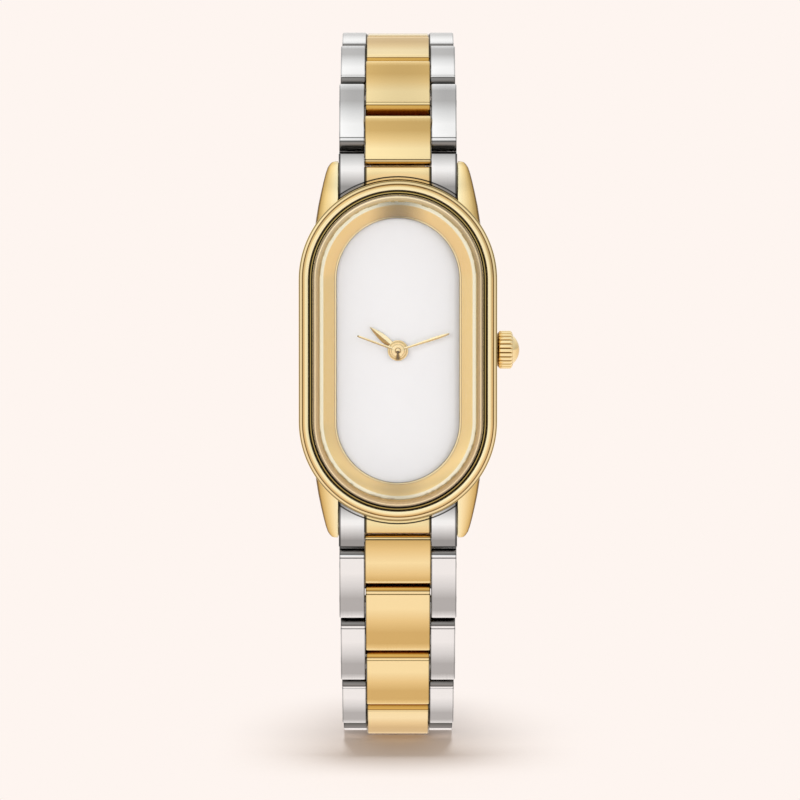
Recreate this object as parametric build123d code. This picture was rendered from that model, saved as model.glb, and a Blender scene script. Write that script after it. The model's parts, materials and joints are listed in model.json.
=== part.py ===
from build123d import *
from math import asin, atan2, cos, degrees, hypot, pi, radians, sin, sqrt
import os

# An oval quartz dress watch on a closed three row bracelet, standing on the bracelet.
# Millimetres, +Z up, dial towards -Y, crown towards +X. The origin is the middle of the
# flat outer face of the link that the watch stands on.
# The head is drawn about its own middle, with "height" measured from the middle plane of
# the case towards the wearer's eye, and is then leaned back and lifted into place.

# Oval of the case
case_radius = 9.75
oval_straight = 14.4
case_front = 1.2
case_rear = -2.1
case_wall = 1.35
case_bulge = 0.25

# Bezel, crystal and seals
bezel_overhang = 0.3
bezel_height = 1.55
bezel_wall = 1.25
bezel_ledge_width = 1.0
bezel_ledge_height = 0.8
bezel_bead = 0.26
bead_steps = 5
bezel_step = 0.3
bezel_rise = 0.9
gasket_width = 0.15
crystal_height = 1.1
crystal_bevel_width = 0.76
crystal_bevel_height = 0.45
fit_gap = 0.04

# Dial and dial ring
dial_thickness = 0.3
dial_ring_width = 1.51
dial_ring_height = 0.5
dial_ring_bevel = 0.12
dial_ring_gap = 0.05

# Case back
back_thickness = 0.55
back_edge = 0.5
back_bevel = 0.25
back_plug_depth = 0.5
back_plug_wall = 0.8
back_gap = 0.1

# Lugs
lug_side_gap = 0.05
lug_beyond_case = 2.15
lug_root_width = 2.4
lug_middle_width = 1.75
lug_tip_width = 1.12
lug_tip_round = 0.55
lug_tip_height = -0.35
lug_tip_thickness = 1.75
lug_below_case = 0.35
lug_root_share = 0.62
lug_middle_share = 0.83
lug_shoulder_share = 0.85
lug_belly_share = 0.92
lug_bar_inset = 1.35
lug_bar_height = -0.85
lug_hole_depth = 0.8

# Crown and stem
crown_radius = 1.93
crown_length = 1.5
crown_height = -0.62
crown_flutes = 26
crown_flute_depth = 0.17
crown_ridge_share = 0.4
crown_cap_radius = 1.47
crown_cap_rise = 0.68
crown_gap = 0.1
crown_bore_radius = 1.05
crown_bore_depth = 0.95
tube_radius = 0.95
tube_reach = 0.75
stem_radius = 0.45
stem_square = 0.62
stem_square_length = 2.6
pinion_radius = 0.85
pinion_length = 1.2
pinion_slot_gap = 0.2
running_gap = 0.04

# Hands and motion work
hour_length = 3.75
hour_width = 0.62
hour_hub_radius = 1.03
minute_length = 5.4
minute_width = 0.36
minute_hub_radius = 0.65
second_length = 4.4
second_tail = 1.1
second_width = 0.14
second_hub_radius = 0.29
hand_thickness = 0.13
hand_edge = 0.06
hand_spacing = 0.13
hour_angle = 310
minute_angle = 71.7
second_angle = 290
widest_share = 0.58
hub_neck_share = 0.35
arbor_radius = 0.12
cannon_bore_radius = 0.16
cannon_pipe_radius = 0.38
hour_pipe_radius = 0.66
dial_hole_gap = 0.09
gear_module = 0.1
cannon_teeth = 12
minute_wheel_teeth = 36
minute_pinion_teeth = 10
hour_wheel_teeth = 40
seconds_wheel_teeth = 36
seconds_wheel_room = 0.8
gear_backlash = 0.03
tooth_depth_share = 1.2
tooth_height_share = 0.9
tooth_root_share = 0.36
tooth_tip_share = 0.12
wheel_thickness = 0.22
wheel_gap = 0.08
post_radius = 0.3

# Movement
plate_thickness = 0.7
plate_wall = 1.25
holder_gap = 0.05
holder_ledge = 0.45
battery_radius = 3.4
battery_height = 1.65
battery_offset = 8.6
battery_rim = 0.35
battery_gap = 0.1
coil_length = 8.0
coil_radius = 0.62
coil_core_radius = 0.3
coil_bobbin = 0.5
coil_bobbin_radius = 0.75
coil_offset = 8.4

# Bracelet
bracelet_width = 12.0
width_loss_per_link = 0.12
centre_share = 0.558
link_pitch = 3.6
first_pitch = 2.6
link_thickness = 2.4
link_gap = 0.31
link_bevel_length = 0.3
link_bevel_depth = 0.2
link_lip_length = 0.52
lip_depth = 0.22
lip_slope = 0.06
corner_steps = 3
link_side_bevel = 0.14
row_gap = 0.08
pin_radius = 0.35
pin_gap = 0.03
pin_inset = 0.12
pressed_sides = 12
end_pin_beyond_lug = 0.2
end_pin_height = -0.3
end_nose = 0.62
end_nose_gap = 0.1
end_arm_reach = 0.68
end_link_gap = 0.06
end_link_floor = 1.2
end_link_bevel = 0.18
end_centre_gap = 0.03

# How the watch leans back, and the turn of each link from the vertical
lean = 3
lower_turns = [4, 9, 18, 27, 37, 48, 61, 81, 88, 90, 90, 92, 100, 117, 135, 153, 169]
upper_turns = [15, 34, 52, 65, 75, 84, 92, 99, 106, 114, 123, 132, 141, 151, 161, 171]
standing_link_count = 10

# Clasp
clasp_inset = 0.06
clasp_arm_gap = 0.28
clasp_plate = 1.15
clasp_outer_height = 1.6
clasp_rim_depth = 2.75
blade_thickness = 0.9
blade_gap = 0.2
blade_side_gap = 0.2
clasp_top_gap = 2.4
upper_hinge_inset = 5.0
lower_hinge_inset = 4.2
knuckle_radius = 0.85
knuckle_gap = 0.1
middle_knuckle_width = 2.5
upper_knuckle_radius = 0.58
clasp_pin_radius = 0.3
arm_reach = 1.2
blade_lug_radius = 1.05
clasp_edge_bevel = 0.25

overrun = 1.0

# Sizes that follow from the ones above
bezel_radius = case_radius + bezel_overhang
bezel_front = case_front + bezel_height
gasket_outer = bezel_radius - bezel_wall
crystal_radius = gasket_outer - gasket_width
ledge_radius = gasket_outer - bezel_ledge_width
ledge_front = case_front + bezel_ledge_height
cavity_radius = case_radius - case_wall
crystal_front = ledge_front + crystal_height
dial_ring_radius = ledge_radius - dial_ring_gap
dial_half_width = dial_ring_radius - dial_ring_width
dial_front = case_front - dial_thickness / 2 - dial_ring_gap
dial_rear = dial_front - dial_thickness
plate_radius = cavity_radius - plate_wall
hour_wheel_front = dial_rear - wheel_gap
lower_wheel_front = hour_wheel_front - wheel_thickness - wheel_gap
plate_front = lower_wheel_front - wheel_thickness - wheel_gap
plate_rear = plate_front - plate_thickness
wheel_distance = gear_module * (cannon_teeth + minute_wheel_teeth) / 2
hour_module = 2 * wheel_distance / (minute_pinion_teeth + hour_wheel_teeth)
back_plug_radius = cavity_radius - fit_gap
link_end = (link_pitch - link_gap) / 2
half_link = link_thickness / 2
lug_gap = bracelet_width + 2 * lug_side_gap
lug_reach = oval_straight / 2 + case_radius + lug_beyond_case
end_pin_reach = lug_reach + end_pin_beyond_lug
pin_bore_radius = pin_radius + pin_gap
crown_start = bezel_radius + crown_gap
stem_end = plate_radius - stem_square_length


def oval(radius):
    """Outline of the oval at a distance from its middle line, in the plane of the dial."""
    return SlotCenterToCenter(oval_straight, 2 * radius, rotation=90)


def at_height(height):
    """Plane of the dial at a height, facing the wearer's eye."""
    return Plane.XZ.offset(height)


def oval_slab(radius, low, high):
    return extrude(at_height(low) * oval(radius), amount=high - low)


def disc(radius, low, high, x=0, z=0):
    return extrude(at_height(low) * Pos(x, z) * Circle(radius), amount=high - low)


def oval_turned(points):
    """Solid whose section, given as distance and height, runs all the way round the oval."""
    section = Plane.XY * make_face(Polyline([(r, -h) for r, h in points], close=True))
    side = extrude(section, amount=oval_straight / 2, both=True)
    upper = Axis((0, 0, oval_straight / 2), (0, 1, 0))
    end = revolve(Pos(0, 0, oval_straight / 2) * section, upper, -180)
    whole = side + mirror(side, Plane.YZ) + end + mirror(end, Plane.XY)
    return whole


def arc_points(centre_r, centre_h, radius, start, stop, count):
    """Points on an arc of a section, from one angle to another, in degrees."""
    turns = [radians(start + (stop - start) * i / count) for i in range(count + 1)]
    return [(centre_r + radius * cos(t), centre_h + radius * sin(t)) for t in turns]


def x_rod(radius, start, stop, y, z):
    """Round rod along X."""
    rod = Plane.YZ.offset(start) * Pos(y, z) * Circle(radius)
    return extrude(rod, amount=stop - start)


def four_fold(solid):
    """A solid and its copies in the other three corners of the watch head."""
    pair = [solid, mirror(solid, Plane.YZ)]
    return pair + [mirror(one, Plane.XY) for one in pair]


# Case, bezel, crystal and back


def lug():
    """One horn: its outline from the front, cut to its outline from the side."""
    inner = lug_gap / 2
    root = lug_reach * lug_root_share
    shoulder = lug_reach * lug_shoulder_share
    belly = lug_reach * lug_belly_share
    tip_start = lug_reach - lug_tip_round
    front_lines = make_face(
        Polyline((inner, tip_start), (inner, root), (inner + lug_root_width, root))
        + ThreePointArc((inner + lug_root_width, root),
                        (inner + lug_middle_width, lug_reach * lug_middle_share),
                        (inner + lug_tip_width, tip_start))
        + ThreePointArc((inner + lug_tip_width, tip_start), (inner + lug_tip_width / 2, lug_reach),
                        (inner, tip_start))
    )
    horn = extrude(at_height(case_rear - overrun) * front_lines, amount=case_front - case_rear + overrun)
    low = case_rear - lug_below_case
    tip_low = lug_tip_height - lug_tip_thickness
    side_lines = make_face(
        Polyline((-lug_tip_height, lug_reach), (-tip_low, lug_reach), (-low, belly), (-low, root),
                 (-case_front, root))
        + ThreePointArc((-case_front, root), (lug_below_case - case_front, shoulder),
                        (-lug_tip_height, lug_reach))
    )
    horn = horn & extrude(Plane.YZ * side_lines, amount=case_radius)
    horn = horn - oval_slab(case_radius - back_edge + back_gap, low, case_rear)
    bar_z = lug_reach - lug_bar_inset
    return horn - x_rod(pin_bore_radius, 0, inner + lug_hole_depth, -lug_bar_height, bar_z)


def case_body():
    middle = (case_front + case_rear) / 2
    band = [(cavity_radius, case_rear), (case_radius - case_bulge, case_rear),
            (case_radius, middle), (case_radius - case_bulge / 2, case_front),
            (cavity_radius, case_front)]
    body = oval_turned(band)
    for horn in four_fold(lug()):
        body = body + (horn - oval_slab(cavity_radius + fit_gap, case_rear - overrun, case_front + overrun))
    hole = x_rod(tube_radius, cavity_radius - overrun, case_radius + overrun, -crown_height, 0)
    return body - hole


def bezel():
    bead_r = bezel_radius - bezel_step - bezel_bead
    bead_h = case_front + bezel_rise + bezel_bead
    inner_bead = (bead_r - bezel_bead + gasket_outer) / 2
    points = [(ledge_radius, case_front), (bezel_radius, case_front),
              (bezel_radius, case_front + bezel_rise / 2), (bead_r + bezel_bead, case_front + bezel_rise)]
    points += arc_points(bead_r, bead_h, bezel_bead, 0, 180, bead_steps)
    points += [(bead_r - bezel_bead, bezel_front - bezel_bead), (inner_bead, bezel_front - bezel_bead / 2),
               (gasket_outer, bezel_front - bezel_bead), (gasket_outer, ledge_front),
               (ledge_radius, ledge_front)]
    return oval_turned(points)


def crystal():
    edge = crystal_front - crystal_bevel_height
    slab = [(0, ledge_front), (crystal_radius, ledge_front), (crystal_radius, edge),
            (crystal_radius - crystal_bevel_width, crystal_front), (0, crystal_front)]
    return oval_turned(slab)


def gaskets():
    front = bezel_front - 2 * bezel_bead
    ring = oval_slab(gasket_outer, ledge_front, front) - oval_slab(crystal_radius, ledge_front, front)
    seat = case_rear + back_plug_depth / 2
    rear = oval_slab(cavity_radius, case_rear, seat) - oval_slab(back_seat_radius(), case_rear, seat)
    return Compound([ring.solid(), rear.solid()])


def back_seat_radius():
    return back_plug_radius - gasket_width


def dial():
    plate = oval_slab(dial_ring_radius, dial_rear, dial_front)
    return plate - disc(hour_pipe_radius + dial_hole_gap, dial_rear, dial_front)


def dial_ring():
    top = dial_front + dial_ring_height
    band = [(dial_half_width, dial_front), (dial_ring_radius, dial_front), (dial_ring_radius, top),
            (dial_half_width + dial_ring_bevel, top), (dial_half_width, top - dial_ring_bevel)]
    return oval_turned(band)


def case_back():
    rear = case_rear - back_thickness
    rim = case_radius - back_edge
    inner = back_plug_radius - back_plug_wall
    seat = case_rear + back_plug_depth / 2
    shell = [(0, rear), (rim - back_bevel, rear), (rim, rear + back_bevel), (rim, case_rear),
             (back_seat_radius(), case_rear), (back_seat_radius(), seat), (back_plug_radius, seat),
             (back_plug_radius, case_rear + back_plug_depth), (inner, case_rear + back_plug_depth),
             (inner, case_rear), (0, case_rear)]
    return oval_turned(shell)


def crown_tube():
    start = cavity_radius + fit_gap
    stop = crown_start + tube_reach
    tube = x_rod(tube_radius, start, stop, -crown_height, 0)
    return tube - x_rod(stem_radius + running_gap, start, stop, -crown_height, 0)


# Movement


def movement_holder():
    top = dial_rear - fit_gap
    bottom = case_rear + back_plug_depth + fit_gap
    outer = cavity_radius - holder_gap
    ring = oval_slab(outer, bottom, top) - oval_slab(plate_radius + holder_gap, plate_rear, top)
    ring = ring - oval_slab(plate_radius - holder_ledge, bottom, plate_rear)
    reach = outer - plate_radius + holder_ledge + overrun
    gap = 2 * (pinion_radius + pinion_slot_gap)
    slot = Pos(plate_radius + reach / 2 - holder_ledge, -crown_height, 0) * Box(reach, gap, gap)
    return ring - slot


def main_plate():
    plate = oval_slab(plate_radius, plate_rear, plate_front)
    cell = disc(battery_radius + battery_gap, plate_rear, plate_front, 0, -battery_offset)
    centre = disc(cannon_pipe_radius + running_gap, plate_rear, plate_front)
    long_gap = coil_length + 2 * battery_gap
    wide_gap = 2 * (coil_bobbin_radius + battery_gap)
    depth = (plate_front + plate_rear) / 2
    coil_slot = Pos(0, -depth, coil_offset) * Box(long_gap, plate_thickness, wide_gap)
    slot_width = 2 * (pinion_radius + pinion_slot_gap)
    slot_start = stem_end - pinion_slot_gap
    slot_length = plate_radius - slot_start + overrun
    stem_slot = Pos(slot_start + slot_length / 2, -depth, 0) * Box(slot_length, plate_thickness, slot_width)
    post = disc(post_radius, plate_front, hour_wheel_front, 0, -wheel_distance)
    return plate - cell - centre - coil_slot - stem_slot + post


def battery():
    top = plate_front
    can = disc(battery_radius, top - battery_height + battery_rim, top, 0, -battery_offset)
    cap = disc(battery_radius - battery_rim, top - battery_height, top - battery_height + battery_rim,
               0, -battery_offset)
    return can + cap


def drive_coil():
    depth = -(plate_front + plate_rear) / 2
    half = coil_length / 2
    wire = x_rod(coil_radius, -half + coil_bobbin, half - coil_bobbin, depth, coil_offset)
    core = x_rod(coil_core_radius, -half, half, depth, coil_offset)
    near = x_rod(coil_bobbin_radius, -half, -half + coil_bobbin, depth, coil_offset)
    far = x_rod(coil_bobbin_radius, half - coil_bobbin, half, depth, coil_offset)
    return wire + core + near + far


# Gears and hands


def gear(teeth, module, low, high):
    """Wheel with straight flanked teeth, thinned by half of the backlash."""
    root = module * (teeth / 2 - tooth_depth_share)
    tip = module * (teeth / 2 + tooth_height_share)
    foot = root - module
    root_half = pi * module * tooth_root_share - gear_backlash / 2
    tip_half = pi * module * tooth_tip_share
    tooth = make_face(Polyline((-root_half, foot), (root_half, foot), (root_half, root),
                               (tip_half, tip), (-tip_half, tip), (-root_half, root), close=True))
    outline = Circle(root)
    for i in range(teeth):
        outline = outline + Rot(0, 0, 360 * (i + 0.5) / teeth) * tooth
    return extrude(at_height(low) * outline, amount=high - low)


def hour_hand_low():
    return dial_front + hand_spacing


def minute_hand_low():
    return hour_hand_low() + hand_thickness + hand_spacing


def second_hand_low():
    return minute_hand_low() + hand_thickness + hand_spacing


def leaf(length, width, hub_radius, hole_radius, low, angle):
    """Pointed hand with a ridge down its middle, pushed on its pipe by a round hub."""
    neck = width * hub_neck_share
    widest = hub_radius + (length - hub_radius) * widest_share
    outline = make_face(Polyline((-neck / 2, 0), (-neck / 2, hub_radius), (-width / 2, widest),
                                 (0, length), (width / 2, widest), (neck / 2, hub_radius),
                                 (neck / 2, 0), close=True))
    blade = extrude(at_height(low) * outline, amount=hand_thickness)
    half = width / 2
    roof = make_face(Polyline((-half, -low), (half, -low), (half, -low - hand_edge),
                              (0, -low - hand_thickness), (-half, -low - hand_edge), close=True))
    blade = blade & extrude(Plane.XY * roof, amount=length)
    hub = disc(hub_radius, low, low + hand_thickness)
    hand = blade + hub - disc(hole_radius, low, low + hand_thickness)
    return Rot(0, angle, 0) * hand


def hour_hand():
    return leaf(hour_length, hour_width, hour_hub_radius, hour_pipe_radius, hour_hand_low(), hour_angle)


def minute_hand():
    return leaf(minute_length, minute_width, minute_hub_radius, cannon_pipe_radius,
                minute_hand_low(), minute_angle)


def second_hand():
    """Needle with its hub, and the thin arbor with the seconds wheel at its foot that turns it."""
    low = second_hand_low()
    high = low + hand_thickness / 2
    outline = make_face(Polyline((-second_width / 2, -second_tail), (second_width / 2, -second_tail),
                                 (0, second_length), close=True))
    needle = extrude(at_height(low) * outline, amount=high - low)
    hub = disc(second_hub_radius, low, low + hand_thickness)
    bore = disc(arbor_radius, low, low + hand_thickness)
    wheel_front = plate_rear - wheel_gap
    module = (stem_end - seconds_wheel_room) / (seconds_wheel_teeth / 2 + tooth_height_share)
    wheel = gear(seconds_wheel_teeth, module, wheel_front - wheel_thickness, wheel_front)
    arbor = wheel + disc(arbor_radius, wheel_front, low + hand_thickness)
    return Compound([(Rot(0, second_angle, 0) * (needle + hub - bore)).solid(), arbor.solid()])


def cannon_pinion():
    pipe = disc(cannon_pipe_radius, plate_rear, minute_hand_low() + hand_thickness)
    leaves = gear(cannon_teeth, gear_module, lower_wheel_front - wheel_thickness, lower_wheel_front)
    return pipe + leaves - disc(cannon_bore_radius, plate_rear, second_hand_low())


def hour_wheel():
    wheel = gear(hour_wheel_teeth, hour_module, hour_wheel_front - wheel_thickness, hour_wheel_front)
    pipe = disc(hour_pipe_radius, hour_wheel_front, hour_hand_low() + hand_thickness)
    bore = disc(cannon_pipe_radius + running_gap, hour_wheel_front - wheel_thickness,
                hour_hand_low() + hand_thickness)
    return wheel + pipe - bore


def minute_wheel():
    low = lower_wheel_front - wheel_thickness
    wheel = gear(minute_wheel_teeth, gear_module, low, lower_wheel_front)
    wheel = Rot(0, 180 / minute_wheel_teeth, 0) * wheel
    pinion = gear(minute_pinion_teeth, hour_module, lower_wheel_front, hour_wheel_front)
    pinion = Rot(0, 180 / minute_pinion_teeth, 0) * pinion
    bore = disc(post_radius + running_gap, low, hour_wheel_front)
    return Pos(0, 0, -wheel_distance) * (wheel + pinion - bore)


# Crown and stem


def crown_outline():
    """Ring of flat ridges with a groove between each two."""
    ridge = [(-crown_ridge_share / 2, crown_radius), (crown_ridge_share / 2, crown_radius),
             (1 / 2, crown_radius - crown_flute_depth)]
    points = []
    for i in range(crown_flutes):
        for share, radius in ridge:
            turn = 2 * pi * (i + share) / crown_flutes
            points.append((radius * cos(turn), radius * sin(turn)))
    return make_face(Polyline(points, close=True))


def crown():
    start = crown_start
    stop = start + crown_length
    outline = Plane.YZ.offset(start) * Pos(-crown_height, 0) * crown_outline()
    body = extrude(outline, amount=crown_length)
    ball = (crown_cap_radius ** 2 + crown_cap_rise ** 2) / (2 * crown_cap_rise)
    side = asin(crown_cap_radius / ball) / 2
    half_way = (ball * sin(side), crown_cap_rise - ball * (1 - cos(side)))
    dome = make_face(Line((0, crown_cap_rise), (0, 0)) + Line((0, 0), (crown_cap_radius, 0))
                     + ThreePointArc((crown_cap_radius, 0), half_way, (0, crown_cap_rise)))
    cap = Pos(stop, -crown_height, 0) * Rot(0, 0, -90) * revolve(dome, Axis.Y, 360)
    recess = x_rod(crown_bore_radius, start, start + crown_bore_depth, -crown_height, 0)
    seat = x_rod(stem_radius, start, stop, -crown_height, 0)
    return body + cap - recess - seat


def winding_stem():
    shoulder = stem_end + stem_square_length
    square = Pos(stem_end + stem_square_length / 2, -crown_height, 0) * Box(
        stem_square_length, stem_square, stem_square)
    rod = x_rod(stem_radius, shoulder, crown_start + crown_length, -crown_height, 0)
    return square + rod


def sliding_pinion():
    """Pinion that turns with the square of the stem and lets it slide through."""
    start = stem_end + pinion_slot_gap
    stop = start + pinion_length
    body = x_rod(pinion_radius, start, stop, -crown_height, 0)
    bore = stem_square + 2 * running_gap
    hole = Pos((start + stop) / 2, -crown_height, 0) * Box(pinion_length, bore, bore)
    return body - hole


# End links


def end_sector(low, high, width, far):
    """Block between the case and a far edge, cut to the curve of the oval."""
    near = oval_straight / 2
    block = Pos(0, -(low + high) / 2, (near + far) / 2) * Box(width, high - low, far - near)
    return block - oval_slab(case_radius + end_link_gap, low, high)


def end_link(arm_width, centre_width):
    """Outer piece of the bracelet's end: two arms joined by a floor, bored for both bars."""
    high = end_pin_height + half_link
    low = end_pin_height - half_link
    centre_end = end_pin_reach - end_nose - end_nose_gap
    body = end_sector(low, high, arm_width, end_pin_reach + end_arm_reach)
    notch_depth = high - low - end_link_floor
    notch_length = end_pin_reach - oval_straight / 2
    notch = Pos(0, -high + notch_depth / 2, oval_straight / 2 + notch_length / 2) * Box(
        centre_width, notch_depth, notch_length)
    mouth_length = end_arm_reach + end_nose + end_nose_gap
    mouth = Pos(0, -end_pin_height, centre_end + mouth_length / 2) * Box(
        centre_width, link_thickness, mouth_length)
    body = body - notch - mouth
    half = arm_width / 2
    bar = x_rod(pin_bore_radius, -half, half, -lug_bar_height, lug_reach - lug_bar_inset)
    pin = x_rod(pin_radius, -half, half, -end_pin_height, end_pin_reach)
    outer = (body.edges().filter_by(Axis.X).group_by(Axis.Z)[-1]).sort_by(Axis.Y)
    body = chamfer(outer, end_link_bevel)
    return body - bar - pin


def end_links():
    arm_width = bracelet_width
    centre_width = bracelet_width * centre_share + 2 * row_gap
    link = end_link(arm_width, centre_width)
    half = arm_width / 2 - pin_inset
    pin = x_rod(pin_radius, -half, half, -end_pin_height, end_pin_reach)
    pair = [link.solid(), pin.solid()]
    return Compound(pair + [mirror(one, Plane.XY) for one in pair])


def end_link_centres():
    high = end_pin_height + half_link
    low = high - (link_thickness - end_link_floor) + end_centre_gap
    width = bracelet_width * centre_share
    far = end_pin_reach - end_nose - end_nose_gap
    piece = end_sector(low, high, width, far)
    outer = piece.edges().filter_by(Axis.Z).sort_by(Axis.Y)[:2]
    piece = chamfer(outer, link_side_bevel).solid()
    return Compound([piece, mirror(piece, Plane.XY)])


def spring_bars():
    half = lug_gap / 2 + lug_hole_depth - fit_gap
    bar = x_rod(pin_radius, -half, half, -lug_bar_height, lug_reach - lug_bar_inset).solid()
    return Compound([bar, mirror(bar, Plane.XY)])


# Bracelet links, drawn pointing up from their first pin with the outer face towards -Y


def corner_points(reach, middle, side):
    """Inner corner of a link that turns about a pin, from the link's end to its inner face."""
    last = atan2(half_link, sqrt(link_end ** 2 - half_link ** 2))
    turns = [last * i / corner_steps for i in range(corner_steps + 1)]
    return [(reach * sin(turn), middle + side * reach * cos(turn)) for turn in turns]


def link_outline(pitch, first_end):
    """Side outline: a low lip and a bevel on the outer face, inner corners turned about the pins."""
    lip = link_lip_length - first_end if first_end == link_end else -first_end / 2
    outer = [(lip_depth - half_link, -first_end), (lip_depth - half_link, lip - lip_slope),
             (-half_link, lip), (-half_link, pitch + link_end - link_bevel_length),
             (link_bevel_depth - half_link, pitch + link_end)]
    far = corner_points(link_end, pitch, 1)
    near = corner_points(first_end, 0, -1)[::-1]
    if first_end < link_end:
        near = [(half_link, first_end / 2)] + near
    return make_face(Polyline(outer + far + near, close=True))


def link_block(pitch, first_end, x_low, x_high):
    block = extrude(Plane.YZ.offset(x_low) * link_outline(pitch, first_end), amount=x_high - x_low)
    long_edges = block.edges().filter_by(Axis.Z).sort_by(Axis.Y)[:2]
    return chamfer(long_edges, link_side_bevel)


def row_width(index):
    """Width of the bracelet at a link, counted from the case."""
    return bracelet_width - width_loss_per_link * index


def centre_link(index):
    """Middle link, bored to run on the pins of the outer links on both sides of it."""
    first = index == 0
    pitch = first_pitch if first else link_pitch
    half = row_width(index) * centre_share / 2
    block = link_block(pitch, end_nose if first else link_end, -half, half)
    for z in (0, pitch):
        block = block - x_rod(pin_bore_radius, -half, half, 0, z)
    return block


def pressed_hole(start, stop, z):
    """Hole whose flats grip a pin."""
    flats = RegularPolygon(pin_radius, pressed_sides, major_radius=False)
    return extrude(Plane.YZ.offset(start) * Pos(0, z) * flats, amount=stop - start)


def outer_links(index):
    """Pair of outer links with the two pins pressed into them."""
    inner = row_width(index - 1) * centre_share / 2 + row_gap
    outer = row_width(index) / 2
    block = link_block(link_pitch, link_end, inner, outer)
    pins = []
    for z in (0, link_pitch):
        block = block - pressed_hole(inner, outer, z)
        pins.append(x_rod(pin_radius, pin_inset - outer, outer - pin_inset, 0, z).solid())
    block = block.solid()
    return Compound([block, mirror(block, Plane.YZ)] + pins)


def tilted(y, z):
    """A point of the head's own frame after it is leaned back."""
    turn = radians(lean)
    return (y * cos(turn) + z * sin(turn), z * cos(turn) - y * sin(turn))


def pin_places(turns, side):
    """Pins of a run of links, from the end link on; side is 1 above the case and -1 below."""
    places = [tilted(-end_pin_height, side * end_pin_reach)]
    for i, turn in enumerate(turns):
        pitch = link_pitch if i else first_pitch
        y, z = places[-1]
        angle = radians(turn)
        places.append((y + pitch * sin(angle), z + side * pitch * cos(angle)))
    return places


lower_pins = pin_places(lower_turns, -1)
upper_pins = pin_places(upper_turns, 1)
rest_y = (lower_pins[standing_link_count][0] + lower_pins[standing_link_count + 1][0]) / 2
rest_z = lower_pins[standing_link_count][1] - half_link
head_place = Pos(0, -rest_y, -rest_z) * Rot(-lean, 0, 0)


def link_place(pins, turns, index, side):
    y, z = pins[index]
    place = Pos(0, y - rest_y, z - rest_z) * Rot(-side * turns[index], 0, 0)
    return place if side > 0 else place * Rot(0, 180, 0)


# Clasp, drawn hanging down from the last upper pin with its outer side towards +Y

clasp_y = lower_pins[-1][0] - upper_pins[-1][0]
clasp_z = lower_pins[-1][1] - upper_pins[-1][1]
clasp_span = hypot(clasp_y, clasp_z)
clasp_turn = degrees(atan2(clasp_y, -clasp_z))
clasp_place = Pos(0, upper_pins[-1][0] - rest_y, upper_pins[-1][1] - rest_z) * Rot(clasp_turn, 0, 0)
blade_width = row_width(len(upper_turns)) * centre_share - blade_side_gap
clasp_width = row_width(len(lower_turns)) - clasp_inset
clasp_inner = row_width(len(lower_turns) - 1) * centre_share / 2 + clasp_arm_gap
clasp_wall = clasp_width / 2 - clasp_inner
middle_y = clasp_outer_height - clasp_plate - blade_gap - blade_thickness / 2
inner_y = middle_y - blade_thickness - blade_gap
lower_hinge = ((middle_y + inner_y) / 2, lower_hinge_inset - clasp_span)
upper_hinge = (middle_y, -upper_hinge_inset)


def blade(y, top, bottom):
    """Flat spring blade between two heights."""
    return Pos(0, y, (top + bottom) / 2) * Box(blade_width, blade_thickness, top - bottom)


def clasp_inner_blade():
    """Blade next to the wrist: a lug on the last upper links and two knuckles at its foot."""
    half = blade_width / 2
    hinge_y, hinge_z = lower_hinge
    lug_end = x_rod(blade_lug_radius, -half, half, 0, 0)
    neck = Pos(0, (inner_y - blade_thickness / 2) / 2, -blade_lug_radius / 2) * Box(
        blade_width, blade_thickness / 2 - inner_y, blade_lug_radius)
    plate = blade(inner_y, 0, hinge_z)
    body = lug_end + neck + plate + x_rod(knuckle_radius, -half, half, hinge_y, hinge_z)
    room = middle_knuckle_width / 2 + knuckle_gap
    body = body - x_rod(knuckle_radius + knuckle_gap, -room, room, hinge_y, hinge_z)
    body = body - x_rod(pin_bore_radius, -half, half, 0, 0)
    body = body - x_rod(clasp_pin_radius, -half, half, hinge_y, hinge_z)
    pin = x_rod(clasp_pin_radius, -half, half, hinge_y, hinge_z)
    return Compound([body.solid(), pin.solid()])


def clasp_middle_blade():
    """Middle blade: one knuckle at its foot and one across its top."""
    half = blade_width / 2
    hinge_y, hinge_z = lower_hinge
    top_y, top_z = upper_hinge
    plate = blade(middle_y, top_z, hinge_z) - x_rod(knuckle_radius + knuckle_gap, -half, half, hinge_y, hinge_z)
    room = middle_knuckle_width / 2
    link = Pos(0, middle_y, hinge_z + knuckle_radius) * Box(
        middle_knuckle_width, blade_thickness, 2 * knuckle_radius)
    knuckle = x_rod(knuckle_radius, -room, room, hinge_y, hinge_z)
    body = plate + link + knuckle + x_rod(upper_knuckle_radius, -half, half, top_y, top_z)
    body = body - x_rod(clasp_pin_radius + pin_gap, -half, half, hinge_y, hinge_z)
    return body - x_rod(clasp_pin_radius + pin_gap, -half, half, top_y, top_z)


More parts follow.
